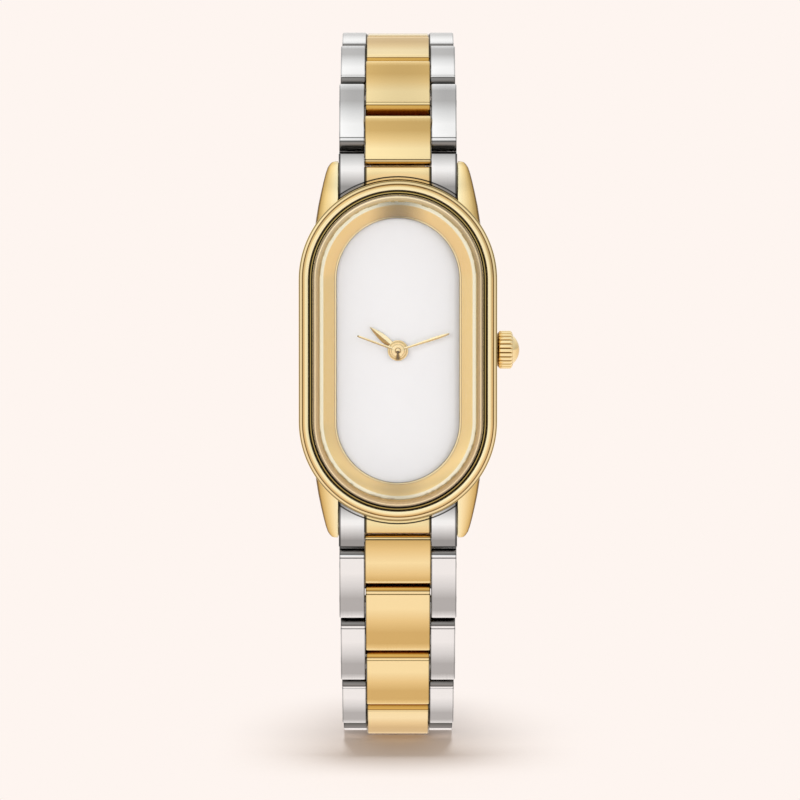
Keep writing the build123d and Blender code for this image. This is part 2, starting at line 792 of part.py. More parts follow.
def clasp_cover():
    """Outer shell: a plate with two rims that end in the arms for the last lower link."""
    top_y, top_z = upper_hinge
    half = clasp_width / 2
    plate_top = -clasp_top_gap
    plate_bottom = lower_hinge[1]
    tip = -clasp_span - arm_reach
    plate_y = clasp_outer_height - clasp_plate / 2
    plate = Pos(0, plate_y, (plate_top + plate_bottom) / 2) * Box(
        clasp_width, clasp_plate, plate_top - plate_bottom)
    rim_y = clasp_outer_height - clasp_rim_depth / 2
    rim = Pos(clasp_inner + clasp_wall / 2, rim_y, (plate_top + tip) / 2) * Box(
        clasp_wall, clasp_rim_depth, plate_top - tip)
    tip_edges = rim.edges().filter_by(Axis.X).group_by(Axis.Z)[0]
    rim = chamfer(tip_edges, arm_reach - pin_radius - pin_gap)
    body = plate + rim + mirror(rim, Plane.YZ)
    outer = body.edges().filter_by(Axis.Z).group_by(Axis.Y)[-1].sort_by(Axis.X)
    body = chamfer([outer[0], outer[-1]], clasp_edge_bevel)
    body = body - x_rod(clasp_pin_radius, -half, half, top_y, top_z)
    body = body - x_rod(pin_radius, -half, half, 0, -clasp_span)
    pin_half = half - pin_inset
    pin = x_rod(clasp_pin_radius, -pin_half, pin_half, top_y, top_z)
    return Compound([body.solid(), pin.solid()])


def last_lower_link(index):
    """Last middle link with the clasp's spring bar in its bore, tips drawn in."""
    link = centre_link(index)
    half = row_width(index) * centre_share / 2
    bar = x_rod(pin_radius, -half, half, 0, link_pitch)
    return Compound([link.solid(), bar.solid()])


def head_nodes():
    return {
        "case_body": case_body(), "bezel": bezel(), "crystal": crystal(), "gaskets": gaskets(),
        "dial": dial(), "dial_ring": dial_ring(), "case_back": case_back(),
        "crown_tube": crown_tube(), "movement_holder": movement_holder(),
        "main_plate": main_plate(), "battery": battery(), "drive_coil": drive_coil(),
        "hour_hand": hour_hand(), "minute_hand": minute_hand(), "second_hand": second_hand(),
        "cannon_pinion": cannon_pinion(), "hour_wheel": hour_wheel(),
        "minute_wheel": minute_wheel(), "crown": crown(), "winding_stem": winding_stem(),
        "sliding_pinion": sliding_pinion(), "end_links": end_links(),
        "end_link_centres": end_link_centres(), "spring_bars": spring_bars(),
    }


def link_nodes(name, pins, turns, side):
    nodes = {}
    for i in range(len(turns)):
        number = i // 2 + 1
        last = side < 0 and i == len(turns) - 1
        if last:
            solid = last_lower_link(i)
        elif i % 2 == 0:
            solid = centre_link(i)
        else:
            solid = outer_links(i)
        kind = "outer_links" if i % 2 else "centre_link"
        nodes[f"{name}_{kind}_{number}"] = link_place(pins, turns, i, side) * solid
    return nodes


def all_nodes():
    nodes = {name: head_place * solid for name, solid in head_nodes().items()}
    nodes.update(link_nodes("upper", upper_pins, upper_turns, 1))
    nodes.update(link_nodes("lower", lower_pins, lower_turns, -1))
    nodes["clasp_inner_blade"] = clasp_place * clasp_inner_blade()
    nodes["clasp_middle_blade"] = clasp_place * clasp_middle_blade()
    nodes["clasp_cover"] = clasp_place * clasp_cover()
    return nodes


os.makedirs("parts", exist_ok=True)
for node_name, node_solid in all_nodes().items():
    export_step(node_solid, f"parts/{node_name}.step")
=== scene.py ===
# %% [markdown]
# # A two-tone oval watch, dressed for its portrait
# The CAD model gives every piece its place and its size. This lesson keeps those places and
# gives the pieces the smooth curves and the finishes of the real watch: polished gold, satin
# gold links, brushed steel links, a white lacquered dial and a bevelled crystal.

# %% Load the frame
import json
import math

import bmesh
import bpy
from mathutils import Matrix, Vector


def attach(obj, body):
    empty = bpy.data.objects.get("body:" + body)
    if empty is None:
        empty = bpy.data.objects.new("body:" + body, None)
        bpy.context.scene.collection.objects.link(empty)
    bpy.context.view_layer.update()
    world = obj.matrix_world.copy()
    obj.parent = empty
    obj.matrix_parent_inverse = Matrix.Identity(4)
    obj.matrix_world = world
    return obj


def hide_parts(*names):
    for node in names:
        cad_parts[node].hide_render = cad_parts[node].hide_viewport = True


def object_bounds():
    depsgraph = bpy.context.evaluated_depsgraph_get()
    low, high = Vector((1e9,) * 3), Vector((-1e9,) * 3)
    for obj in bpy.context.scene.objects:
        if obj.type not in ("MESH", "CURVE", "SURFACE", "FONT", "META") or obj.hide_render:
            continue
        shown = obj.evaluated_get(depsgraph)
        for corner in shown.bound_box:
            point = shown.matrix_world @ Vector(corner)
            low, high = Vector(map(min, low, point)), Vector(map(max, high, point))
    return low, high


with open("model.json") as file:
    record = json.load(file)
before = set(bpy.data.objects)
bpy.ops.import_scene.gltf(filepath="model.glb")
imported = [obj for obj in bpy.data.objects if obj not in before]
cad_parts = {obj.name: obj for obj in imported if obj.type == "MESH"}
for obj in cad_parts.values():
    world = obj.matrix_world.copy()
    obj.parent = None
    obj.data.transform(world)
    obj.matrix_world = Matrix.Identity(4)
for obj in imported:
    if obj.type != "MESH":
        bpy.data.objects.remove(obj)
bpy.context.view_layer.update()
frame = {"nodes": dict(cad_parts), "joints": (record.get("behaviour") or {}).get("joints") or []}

nodes = frame["nodes"]
joints = {joint["name"]: joint for joint in frame["joints"]}
print("nodes:", len(nodes), "joints:", len(joints))

# %% [markdown]
# The head of the watch leans back a little. All of its pieces are easiest to draw facing
# straight forward about the middle of the dial, so one matrix carries a finished piece from
# there to its place. The axis of the hands gives both the middle and the lean.

# %% Place of the head
MM = 0.001
centre = Vector(joints["minutes_turn"]["pos_m"])
into_case = Vector(joints["minutes_turn"]["axis"])
lean = math.atan2(-into_case.z, into_case.y)
head_place = Matrix.Translation(centre) @ Matrix.Rotation(-lean, 4, "X")
to_head = head_place.inverted()
print("head middle:", [round(v / MM, 2) for v in centre], "lean:", round(math.degrees(lean), 2))

# %% [markdown]
# ## Networks of nodes
# Finishes and repeated shapes are both networks of nodes. Writing their sums as ordinary
# Python keeps them readable: `Value` wraps a socket, and adding or multiplying two of them
# adds the Math node that does it. `Network.add` makes any other node from its type, its
# settings and the values or links of its inputs, and `out` gives that node's first output.

# %% Values
class Value:
    """A number in a network that changes from place to place."""

    def __init__(self, network, socket):
        self.network, self.socket = network, socket

    def math(self, operation, *others):
        return self.network.math(operation, self, *others)

    def __add__(self, other):
        return self.math("ADD", other)

    def __sub__(self, other):
        return self.math("SUBTRACT", other)

    def __rsub__(self, other):
        return self.network.math("SUBTRACT", other, self)

    def __mul__(self, other):
        return self.math("MULTIPLY", other)

    def __truediv__(self, other):
        return self.math("DIVIDE", other)

    def __rtruediv__(self, other):
        return self.network.math("DIVIDE", other, self)

    __radd__, __rmul__ = __add__, __mul__

    def at_least_0(self):
        return self.math("MAXIMUM", 0.0)

    def at_most_1(self):
        return self.math("MINIMUM", 1.0)


print("sums on values: + - * / and any operation of the Math node")

# %% Networks
class Network:
    """A tree of nodes that is being built."""

    def feed(self, socket, value):
        if isinstance(value, Value):
            value = value.socket
        if isinstance(value, bpy.types.NodeSocket):
            self.tree.links.new(value, socket)
        else:
            socket.default_value = (*value, 1) if socket.type == "RGBA" else value

    def add(self, kind, values=None, stops=(), **settings):
        node = self.tree.nodes.new(kind)
        for key, value in settings.items():
            setattr(node, key, value)
        if stops:
            elements = node.color_ramp.elements
            while len(elements) < len(stops):
                elements.new(0.5)
            for element, (position, color) in zip(elements, stops):
                element.position, element.color = position, (*color, 1)
        for key, value in (values or {}).items():
            self.feed(node.inputs[key], value)
        return node

    def out(self, kind, values=None, **settings):
        return self.add(kind, values, **settings).outputs[0]

    def math(self, operation, *numbers):
        values = dict(enumerate(numbers))
        return Value(self, self.out("ShaderNodeMath", values, operation=operation))

    def parts(self, vector):
        """The three numbers of a place or a direction."""
        sockets = self.add("ShaderNodeSeparateXYZ", {0: vector}).outputs
        return [Value(self, socket) for socket in sockets]


print("networks: any node, with its settings, its numbers and its links")

# %% [markdown]
# ## A finish
# A finish is a material with one surface shader. Its patterns are noise, measured in marks a
# millimetre on the piece itself, so that a scratch has the same size on a link and on the
# case. A picture could be wrapped round the pieces instead, but it would need unwrapped
# meshes and would blur close up.

# %% Finish
LINES_ACROSS, LINES_ALONG = 16.0, 0.06


class Finish(Network):
    """A material that starts with one surface shader and the place on the piece."""

    def __init__(self, name, color, roughness, metallic=0.0, **constants):
        self.material = bpy.data.materials.new(name)
        self.material.use_nodes = True
        self.tree = self.material.node_tree
        self.surface = self.tree.nodes["Principled BSDF"]
        self.place = self.add("ShaderNodeTexCoord").outputs["Object"]
        self.set("Base Color", color)
        self.set("Roughness", roughness)
        self.set("Metallic", metallic)
        for key, value in constants.items():
            self.set(key.replace("_", " "), value)

    def set(self, name, value):
        self.feed(self.surface.inputs[name], value)

    def vary(self, name, pattern, middle, spread):
        """Let a number of the surface follow a pattern to both sides of its middle."""
        self.set(name, pattern * spread + (middle - spread / 2))

    def noise(self, x, y, z, detail):
        """Noise from 0 to 1 with so many marks a millimetre in each direction."""
        scale = (x / MM, y / MM, z / MM)
        place = self.out("ShaderNodeMapping", {"Vector": self.place, "Scale": scale})
        values = {"Vector": place, "Scale": 1.0, "Detail": detail}
        return Value(self, self.out("ShaderNodeTexNoise", values))

    def grain(self, size, detail=3.0):
        return self.noise(size, size, size, detail)

    def lines(self, across=LINES_ACROSS, along=LINES_ALONG):
        """Fine lines that run the length of the bracelet."""
        return self.noise(across, along, along, 4.0)

    def bump(self, height, depth):
        values = {"Height": height, "Distance": depth * MM, "Strength": 1.0}
        self.set("Normal", self.out("ShaderNodeBump", values))

    def ramp(self, factor, stops):
        return self.out("ShaderNodeValToRGB", {"Fac": factor}, stops=stops)

    def scaled(self, color, factor):
        values = {0: color, "Scale": factor}
        return self.out("ShaderNodeVectorMath", values, operation="SCALE")

    def blended(self, share, low, high):
        """A colour between two, by a share from 0 to 1."""
        values = {0: share, 6: low, 7: high}
        return self.add("ShaderNodeMix", values, data_type="RGBA").outputs[2]

    def own(self, name):
        """A number stored on the piece's own mesh."""
        node = self.add("ShaderNodeAttribute", attribute_name=name)
        return Value(self, node.outputs["Fac"])

    def seen(self):
        """1 for the camera and for what metal and glass show, 0 for light that only fills."""
        rays = self.add("ShaderNodeLightPath").outputs
        seen = Value(self, rays["Is Camera Ray"]) + Value(self, rays["Is Glossy Ray"])
        return (seen + Value(self, rays["Is Transmission Ray"])).at_most_1()


print("satin lines a millimetre:", LINES_ACROSS, "across,", LINES_ALONG, "along")

# %% [markdown]
# ## Gold and steel
# Gold plate keeps its colour only in what it reflects, so it is all metal, with a colour close
# to the brightest gold in the photograph. Polished pieces carry faint haze. Brushed pieces
# show fine lines: a noise that is fine across the bracelet and very long in the other two
# directions draws them wherever a piece lies in the loop.

# %% Metal finishes
GOLD = (0.94, 0.71, 0.34)
STEEL, DARK_STEEL = (0.80, 0.81, 0.82), (0.68, 0.685, 0.69)
HAZE_SIZE, SCRATCH_SIZE, BRUSH_DEPTH = 0.5, 14, 0.0016


def polished(name, light, dark, roughness):
    finish = Finish(name, light, roughness, 1.0)
    finish.set("Base Color", finish.ramp(finish.grain(HAZE_SIZE), [(0.3, dark), (0.65, light)]))
    finish.vary("Roughness", finish.grain(SCRATCH_SIZE, 2.0), roughness, 0.05)
    return finish.material


def brushed(name, light, dark, roughness, along=LINES_ALONG, across=LINES_ACROSS):
    finish = Finish(name, light, roughness, 1.0)
    lines = finish.lines(across, along)
    finish.set("Base Color", finish.ramp(lines, [(0.25, dark), (0.7, light)]))
    finish.vary("Roughness", lines, roughness, 0.12)
    finish.bump(lines, BRUSH_DEPTH)
    return finish.material


gold_mirror = polished("gold_polished", GOLD, (0.91, 0.68, 0.315), 0.13)
steel_mirror = polished("steel_polished", STEEL, (0.76, 0.77, 0.78), 0.14)
steel_satin = brushed("steel_satin", STEEL, DARK_STEEL, 0.22)
blade_steel = brushed("blade_brushed", STEEL, DARK_STEEL, 0.3)
back_steel = brushed("back_brushed", STEEL, DARK_STEEL, 0.27, 0.3, 9.0)
gear_brass = brushed("gear_brass", (0.80, 0.58, 0.25), (0.66, 0.45, 0.17), 0.25, 0.5, 8.0)
cell_nickel = brushed("cell_nickel", (0.76, 0.755, 0.74), (0.62, 0.61, 0.60), 0.26, 0.4, 5.0)
metals = (gold_mirror, steel_mirror, steel_satin, blade_steel, back_steel, gear_brass, cell_nickel)
print("metals:", [metal.name for metal in metals])

# %% [markdown]
# ## Satin and painted light of the links
# Every link in the photograph shows the same run of tones from its case side outward: a dark
# nose, a bright strip, a groove, and a face that darkens towards its far end. Mirrored light
# alone would give each link a different run, because each lies at its own angle. So each
# mesh stores how far along the link a point lies, and a ramp turns that number into painted
# light and shade. The side walls of each link get painted shade as well.

# %% Link finishes
LINK_ROUGHNESS, SIDE_SHADE = 0.2, 0.86
# Colours of each link's painted light and shade: nose, lip, bright, middle and dark.
GOLD_PAINTED_LIGHT = ((0.40, 0.20, 0.035), (0.74, 0.46, 0.12), (0.97, 0.79, 0.43),
               (0.84, 0.61, 0.27), (0.68, 0.46, 0.17))
STEEL_PAINTED_LIGHT = ((0.13, 0.127, 0.12), (0.27, 0.265, 0.26), (0.89, 0.90, 0.91),
                (0.70, 0.71, 0.72), (0.46, 0.46, 0.462))
STOPS_TO_GROOVE = 9


def dimmer(color, share):
    return tuple(c * share for c in color)


def painted_link_light(nose, lip, bright, middle, dark):
    """Stops of a link's painted light and shade: nose, dark line, bright strip, groove, face and
    far edge.
    """
    # The dark groove and seam are painted shade: dimmed copies of the face and nose colours.
    groove, seam = dimmer(middle, 0.22), dimmer(nose, 0.2)
    half = tuple((a + b) / 2 for a, b in zip(nose, lip))
    return [(0.0, nose), (0.012, half), (0.026, lip), (0.034, half), (0.041, seam),
            (0.047, bright), (0.072, bright), (0.077, groove), (0.083, groove), (0.09, bright),
            (0.3, bright), (0.5, middle), (0.68, dark), (0.86, dark), (0.93, middle),
            (0.958, bright), (0.975, middle), (1.0, nose)]


def satin_with_painted_light(name, shades):
    """Satin with painted light and shade that follow the link from its case side (0) to its far end
    (1).
    """
    finish = Finish(name, shades[-1][1], LINK_ROUGHNESS, 1.0)
    lines, along = finish.lines(), finish.own("along")
    color = finish.ramp(along + (lines - 0.5) * along * 0.04, shades)
    # Painted shade darkens the side walls of the link.
    finish.set("Base Color", finish.scaled(color, 1 - finish.own("side") * SIDE_SHADE))
    finish.vary("Roughness", lines, LINK_ROUGHNESS, 0.1)
    finish.bump(lines, 0.0012)
    return finish.material


# The first gold link gets its own run of painted light and shade.
nose, _, bright, middle, dark = GOLD_PAINTED_LIGHT
first_link_painted_light = painted_link_light(*GOLD_PAINTED_LIGHT)[:STOPS_TO_GROOVE]
first_link_painted_light += [(0.095, dark), (0.28, middle), (0.55, bright), (0.8, middle), (0.93, dark),
                 (0.958, bright), (1.0, nose)]
gold_links = satin_with_painted_light("link_gold", painted_link_light(*GOLD_PAINTED_LIGHT))
steel_links = satin_with_painted_light("link_steel", painted_link_light(*STEEL_PAINTED_LIGHT))
first_gold_link = satin_with_painted_light("link_gold_first", first_link_painted_light)
print("stops of a link:", len(painted_link_light(*GOLD_PAINTED_LIGHT)), "of the first:", len(first_link_painted_light))

# %% [markdown]
# ## The finishes out of sight
# The movement plate is grained, its holder is moulded plastic, the coil is wound in copper
# wire, and the seals are black rubber. They show only when the watch is taken apart, so a
# fine grain is enough for each, but every one keeps its own.

# %% Other finishes
def speckled(name, light, dark, roughness, size, depth, metallic=0.0, **constants):
    finish = Finish(name, light, roughness, metallic, **constants)
    grain = finish.grain(size, 4.0)
    finish.set("Base Color", finish.ramp(grain, [(0.35, dark), (0.65, light)]))
    finish.vary("Roughness", grain, roughness, 0.1)
    finish.bump(grain, depth)
    return finish.material


def wound(name, light, dark, turns):
    """Copper wire laid side by side along X, with so many turns a millimetre; painted shade darkens
    the hollows between turns.
    """
    finish = Finish(name, light, 0.3, 1.0)
    across, _, _ = finish.parts(finish.place)
    wave = (across * (2 * math.pi * turns / MM)).math("SINE") * 0.5 + 0.5
    finish.set("Base Color", finish.ramp(wave, [(0.0, dark), (0.7, light)]))
    finish.bump(wave, 0.03)
    return finish.material


rubber = speckled("seal_rubber", (0.008, 0.005, 0.003), (0.004, 0.003, 0.002), 0.8, 6, 0.004,
                  Specular_IOR_Level=0.15)
plastic = speckled("holder_plastic", (0.80, 0.78, 0.73), (0.74, 0.72, 0.67), 0.5, 8, 0.002)
plate_metal = speckled("plate_grained", (0.66, 0.64, 0.60), (0.55, 0.53, 0.50), 0.33, 10, 0.003,
                       1.0)
copper = wound("coil_copper", (0.86, 0.42, 0.24), (0.42, 0.16, 0.08), 8)
print("out of sight:", [finish.name for finish in (rubber, plastic, plate_metal, copper)])

# %% [markdown]
# ## Dial and crystal
# The dial is white lacquer. Towards the ring a soft grey is painted on it as shade below the
# raised wall, wider on the right side. The distance from the middle line of the oval drives that
# painted shade. The crystal is nearly clear where it is flat. Its ground bevel shows a tan tone,
# because it bends the view onto the gold wall beside it. Real refraction would need many more
# samples to settle, so the bevel is drawn as a tinted, slightly see-through metal instead, with
# that tan view, a bright band and a dark edge painted on as reflection and shade.

# %% Dial and crystal finishes
OVAL_STRAIGHT = 14.4
BEVEL_OUTER, BEVEL_WIDTH = 8.60, 0.67
# Reach of the painted shade on the dial, and its shift that widens it on the right.
DIAL_RIM, SHADE_SHIFT = 6.4, 0.35
GLASS_INDEX, GLASS_ALPHA = 1.5, 0.035
DIAL_WHITE_AND_PAINTED_SHADE = [(0.0, (0.90, 0.92, 0.95)), (0.84, (0.88, 0.90, 0.93)),
               (0.93, (0.83, 0.845, 0.865)), (1.0, (0.62, 0.62, 0.62))]
BEVEL_PAINTED_REFLECTION = [(0.0, (0.01, 0.005, 0.005)), (0.04, (0.03, 0.02, 0.015)),
                (0.09, (0.34, 0.27, 0.18)), (0.24, (0.60, 0.48, 0.33)), (0.29, (1.0, 0.86, 0.56)),
                (0.36, (1.0, 0.84, 0.52)), (0.42, (0.62, 0.48, 0.30)), (0.8, (0.50, 0.37, 0.19)),
                (1.0, (0.38, 0.27, 0.10))]


def oval_distance(finish):
    """Place across, place beyond the straight part and height above the dial, in millimetres."""
    values = {"Vector": finish.place, "Location": tuple(centre), "Rotation": (-lean, 0, 0)}
    x, y, z = finish.parts(finish.out("ShaderNodeMapping", values, vector_type="TEXTURE"))
    beyond = ((z / MM).math("ABSOLUTE") - OVAL_STRAIGHT / 2).at_least_0()
    return x / MM, beyond, y / -MM


def length_of(across, beyond):
    return (across * across + beyond * beyond).math("SQRT")


def lacquer(name):
    finish = Finish(name, (0.88, 0.89, 0.91), 0.32, Coat_Roughness=0.08)
    across, beyond, _ = oval_distance(finish)
    grain = finish.grain(12, 2.0)
    # Painted shade: the white turns grey towards the ring, more on the right side.
    shade = length_of(across + SHADE_SHIFT, beyond) / DIAL_RIM + (grain - 0.5) * 0.02
    finish.set("Base Color", finish.ramp(shade, DIAL_WHITE_AND_PAINTED_SHADE))
    finish.vary("Roughness", grain, 0.31, 0.06)
    return finish.material


def clear(name):
    finish = Finish(name, (1.0, 1.0, 1.0), 0.02, IOR=GLASS_INDEX)
    finish.vary("Alpha", finish.grain(0.8), GLASS_ALPHA, 0.02)
    return finish.material


def ground_bevel(name):
    """Ground edge of the crystal, with a painted tan reflection of the gold wall beside it, a
    painted bright band and a painted dark edge.
    """
    finish = Finish(name, (0.52, 0.39, 0.22), 0.12, 0.75)
    across, beyond, _ = oval_distance(finish)
    inward = (BEVEL_OUTER - length_of(across, beyond)) / BEVEL_WIDTH
    # Painted reflection of the gold wall, a painted highlight band and painted shade at the wall.
    finish.set("Base Color", finish.ramp(inward, BEVEL_PAINTED_REFLECTION))
    finish.set("Alpha", 0.9 - inward * 0.1)
    return finish.material


dial_white = lacquer("dial_lacquer")
glass_clear = clear("crystal_clear")
glass_bevel = ground_bevel("crystal_bevel")
print("crystal, share that hides what is behind it:", GLASS_ALPHA)

# %% [markdown]
# ## Turned gold with painted reflections
# Bezel and ring were turned on a lathe, and each step of their section mirrors another part of
# the room. The photograph shows that as fine lines of light and dark round the oval. They
# could come from the mirrored room alone, but then each line hangs on a lamp. Here they are
# painted reflections: the distance from the middle line of the oval picks the tone of each
# line, in millimetres.

# %% Lined gold
# Painted dark reflection of a camera lens: its width, its depth, and its share below the middle.
LENS_WIDTH, LENS_SHADE, LENS_SHADE_BELOW = 3.4, 0.62, 0.45
BEZEL_FRONT, FROM_THE_BACK = 1.82, -9.0
BEZEL_PAINTED_REFLECTIONS = [(8.73, (0.03, 0.02, 0.01)), (8.75, (0.05, 0.04, 0.02)), (8.78, (0.48, 0.36, 0.12)),
               (8.88, (0.42, 0.31, 0.10)), (8.905, (0.14, 0.06, 0.006)),
               (8.965, (0.16, 0.07, 0.01)), (9.0, (0.90, 0.76, 0.46)), (9.15, (1.0, 0.90, 0.58)),
               (9.36, (1.0, 0.86, 0.50)), (9.46, (0.84, 0.62, 0.30)), (9.60, (0.64, 0.43, 0.17)),
               (9.64, (0.22, 0.11, 0.02)), (9.71, (0.24, 0.13, 0.03)), (9.75, (0.92, 0.76, 0.44)),
               (9.89, (0.90, 0.72, 0.40)), (9.94, (0.24, 0.18, 0.07)),
               (10.05, (0.17, 0.13, 0.05))]
RING_PAINTED_REFLECTIONS = [(6.19, (0.40, 0.31, 0.15)), (6.26, (0.46, 0.36, 0.18)), (6.29, (0.98, 0.84, 0.52)),
              (6.40, (0.95, 0.76, 0.42)), (6.46, (0.84, 0.60, 0.26)), (7.48, (0.88, 0.64, 0.28)),
              (7.56, (0.95, 0.80, 0.46)), (7.60, (1.0, 0.95, 0.75)), (7.90, (1.0, 0.93, 0.67))]


def step_up(value, start, width):
    """0 below the start, 1 above the start and the width."""
    return ((value - start) / width).at_least_0().at_most_1()


def upper_side(finish):
    """-1 below the middle of the dial and 1 above it."""
    _, _, up = finish.parts(finish.place)
    return (up - centre.z).math("SIGN")


def gold_with_painted_reflections(name, lines, above, lens_shade):
    """Polished gold with lines of painted reflection on what lies above a height.

    The middle of each end gets a painted dark reflection of the lens of a camera, more at the top
    than below.
    """
    finish = Finish(name, GOLD, 0.13, 1.0)
    across, beyond, height = oval_distance(finish)
    first, last = lines[0][0], lines[-1][0]
    share = (length_of(across, beyond) - first) / (last - first)
    stops = [((reach - first) / (last - first), color) for reach, color in lines]
    # The lines of light and dark are painted reflections.
    color = finish.blended(step_up(height, above, 0.06), GOLD, finish.ramp(share, stops))
    # Painted dark reflection of the lens at the middle of each end.
    side = across / LENS_WIDTH
    near = (1 - side * side).at_least_0()
    top = upper_side(finish).at_least_0() * (1 - LENS_SHADE_BELOW) + LENS_SHADE_BELOW
    dark = near * near * (beyond * 0.5).at_most_1() * top
    finish.set("Base Color", finish.scaled(color, 1 - dark * lens_shade))
    return finish.material


bezel_mirror = gold_with_painted_reflections("bezel_gold", BEZEL_PAINTED_REFLECTIONS, BEZEL_FRONT, 0.0)
ring_mirror = gold_with_painted_reflections("ring_gold", RING_PAINTED_REFLECTIONS, FROM_THE_BACK, LENS_SHADE)
print("turned lines: bezel", len(BEZEL_PAINTED_REFLECTIONS), "ring", len(RING_PAINTED_REFLECTIONS))

# %% [markdown]
# ## Shaded gold
# Lugs, hands and crown keep a number from 0, in full light, to 1, in deep shade, on their own
# mesh. It draws the fine dark edges and the two facets of a hand, where the real edge is
# finer than a mesh of sensible size could round.

# %% Lugs, hands and crown
LUG_TONES = [(0.0, (1.0, 0.90, 0.58)), (0.3, (0.98, 0.80, 0.44)), (0.65, (0.84, 0.62, 0.27)),
             (0.88, (0.64, 0.43, 0.15)), (0.94, (0.22, 0.12, 0.02)), (1.0, (0.12, 0.06, 0.01))]
HAND_TONES = [(0.0, (1.0, 0.88, 0.56)), (0.2, (0.96, 0.74, 0.38)), (0.55, (0.46, 0.29, 0.07)),
              (1.0, (0.08, 0.04, 0.01))]
CROWN_TONES = [(0.0, (1.0, 0.82, 0.46)), (0.3, (0.80, 0.56, 0.22)), (0.6, (0.42, 0.25, 0.07)),
               (1.0, (0.10, 0.04, 0.006))]


def shaded_gold(name, stops, roughness):
    finish = Finish(name, GOLD, roughness, 1.0)
    haze = finish.grain(6, 2.0)
    finish.set("Base Color", finish.ramp(finish.own("shade") + (haze - 0.5) * 0.03, stops))
    return finish.material


lug_gold = shaded_gold("lug_gold", LUG_TONES, 0.2)
hand_gold = shaded_gold("hand_gold", HAND_TONES, 0.16)
crown_gold = shaded_gold("crown_gold", CROWN_TONES, 0.15)
print("shaded gold: lugs, hands, crown")

# %% [markdown]
# ## Dress the CAD nodes
# Pieces whose shape is already right keep it and get a finish. Those that need smoother
# curves are drawn again further down, and each new piece takes its node's place.

# %% Finishes for the CAD nodes
finish_of = {
    "gaskets": rubber, "dial": dial_white, "crown_tube": steel_mirror,
    "movement_holder": plastic, "main_plate": plate_metal, "battery": cell_nickel,
    "drive_coil": copper, "cannon_pinion": gear_brass, "hour_wheel": gear_brass,
    "minute_wheel": gear_brass, "winding_stem": blade_steel, "sliding_pinion": blade_steel,
    "spring_bars": blade_steel,
}
for name, node in nodes.items():
    node.data.materials.clear()
    node.data.materials.append(finish_of.get(name, steel_satin))
print("keep their shape:", len(finish_of), "drawn again:", len(nodes) - len(finish_of))

# %% [markdown]
# ## From drawing to piece
# Each drawn piece goes the same way: its faces are turned outward, it is carried to its place,
# and its curves are shaded smooth up to an angle, so that only real edges stay sharp. `carry`
# then lets it stand for its CAD nodes and move with their body.

# %% Pieces
SMOOTH_ANGLE = 35


def mesh_of(work, name):
    """Mesh of what was drawn, with its faces turned outward."""
    bmesh.ops.recalc_face_normals(work, faces=work.faces)
    mesh = bpy.data.meshes.new(name)
    work.to_mesh(mesh)
    work.free()
    return mesh


def new_piece(name, mesh, finish, angle):
    mesh.materials.append(finish)
    for face in mesh.polygons:
        face.use_smooth = True
    mesh.set_sharp_from_angle(angle=math.radians(angle))
    piece = bpy.data.objects.new(name, mesh)
    bpy.context.scene.collection.objects.link(piece)
    return piece


def finished(work, name, finish, place=head_place, angle=SMOOTH_ANGLE):
    mesh = mesh_of(work, name)
    mesh.transform(place)
    return new_piece(name, mesh, finish, angle)


def carry(piece, *names, body="watch_head"):
    """Let a piece stand for CAD nodes and move with their body."""
    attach(piece, body)
    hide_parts(*names)
    print(piece.name, "faces:", len(piece.data.polygons))


# %% [markdown]
# ## Rings that run round the oval
# Bezel, dial ring, case band and crystal share one rule: a section is carried round an oval
# of two half circles and two straight sides. `oval_piece` draws any of them from the section
# alone. A closed section gives a ring. An open one gives a plate, whose two faces are capped.

# %% Pieces round the oval
END_STEPS = 72


def oval_stations():
    """(across, up, middle of the end) for each place round the oval."""
    for end in (1, -1):
        for i in range(END_STEPS + 1):
            turn = math.pi * i / END_STEPS + (0 if end > 0 else math.pi)
            yield math.cos(turn), math.sin(turn), end * OVAL_STRAIGHT / 2


def oval_piece(name, section, finish, closed=True, angle=SMOOTH_ANGLE):
    work = bmesh.new()
    rings = []
    for across, up, middle in oval_stations():
        rings.append([work.verts.new((MM * r * across, -MM * h, MM * (middle + r * up)))
                      for r, h in section])
    count = len(section)
    last = count if closed else count - 1
    for here, there in zip(rings, rings[1:] + rings[:1]):
        for i in range(last):
            k = (i + 1) % count
            work.faces.new((here[i], there[i], there[k], here[k]))
    if not closed:
        work.faces.new([ring[0] for ring in rings])
        work.faces.new([ring[-1] for ring in reversed(rings)])
    return finished(work, name, finish, angle=angle)


def arc(middle, radius, start, stop, count):
    """Points of a section on an arc: distance and height, angles in degrees."""
    points = []
    for i in range(count + 1):
        turn = math.radians(start + (stop - start) * i / count)
        points.append((middle[0] + radius * math.cos(turn), middle[1] + radius * math.sin(turn)))
    return points


print("places round the oval:", len(list(oval_stations())))

# %% [markdown]
# ## Bezel
# The real bezel is turned in one piece: a thin outer step, a bold round bead, a fine groove
# and a narrow lip beside the seal. Each shows as its own line of light in the photograph, so
# the section spends most of its points on the bead.

# %% Bezel
bezel_section = [(7.92, 1.2), (9.96, 1.2)] + arc((9.96, 1.29), 0.09, -90, 0, 3)
bezel_section += arc((9.95, 1.78), 0.10, 0, 70, 4) + [(9.72, 1.98), (9.66, 1.98), (9.645, 1.90)]
bezel_section += arc((9.30, 2.13), 0.34, -10, 190, 24)
bezel_section += [(8.94, 1.94), (8.905, 2.06), (8.765, 2.08), (8.74, 2.05), (8.74, 1.98),
                  (8.78, 1.96), (8.78, 1.6), (7.92, 1.6)]
carry(oval_piece("bezel_turned", bezel_section, bezel_mirror), "bezel")

# %% [markdown]
# ## Crystal and dial ring
# The crystal is a flat plate with a wide ground bevel. The bevel gets its own finish, told
# apart by the height of its faces. The gold ring under it slopes gently down to the dial and
# ends in a fine rounded edge, which carries a painted highlight and a painted dark line.

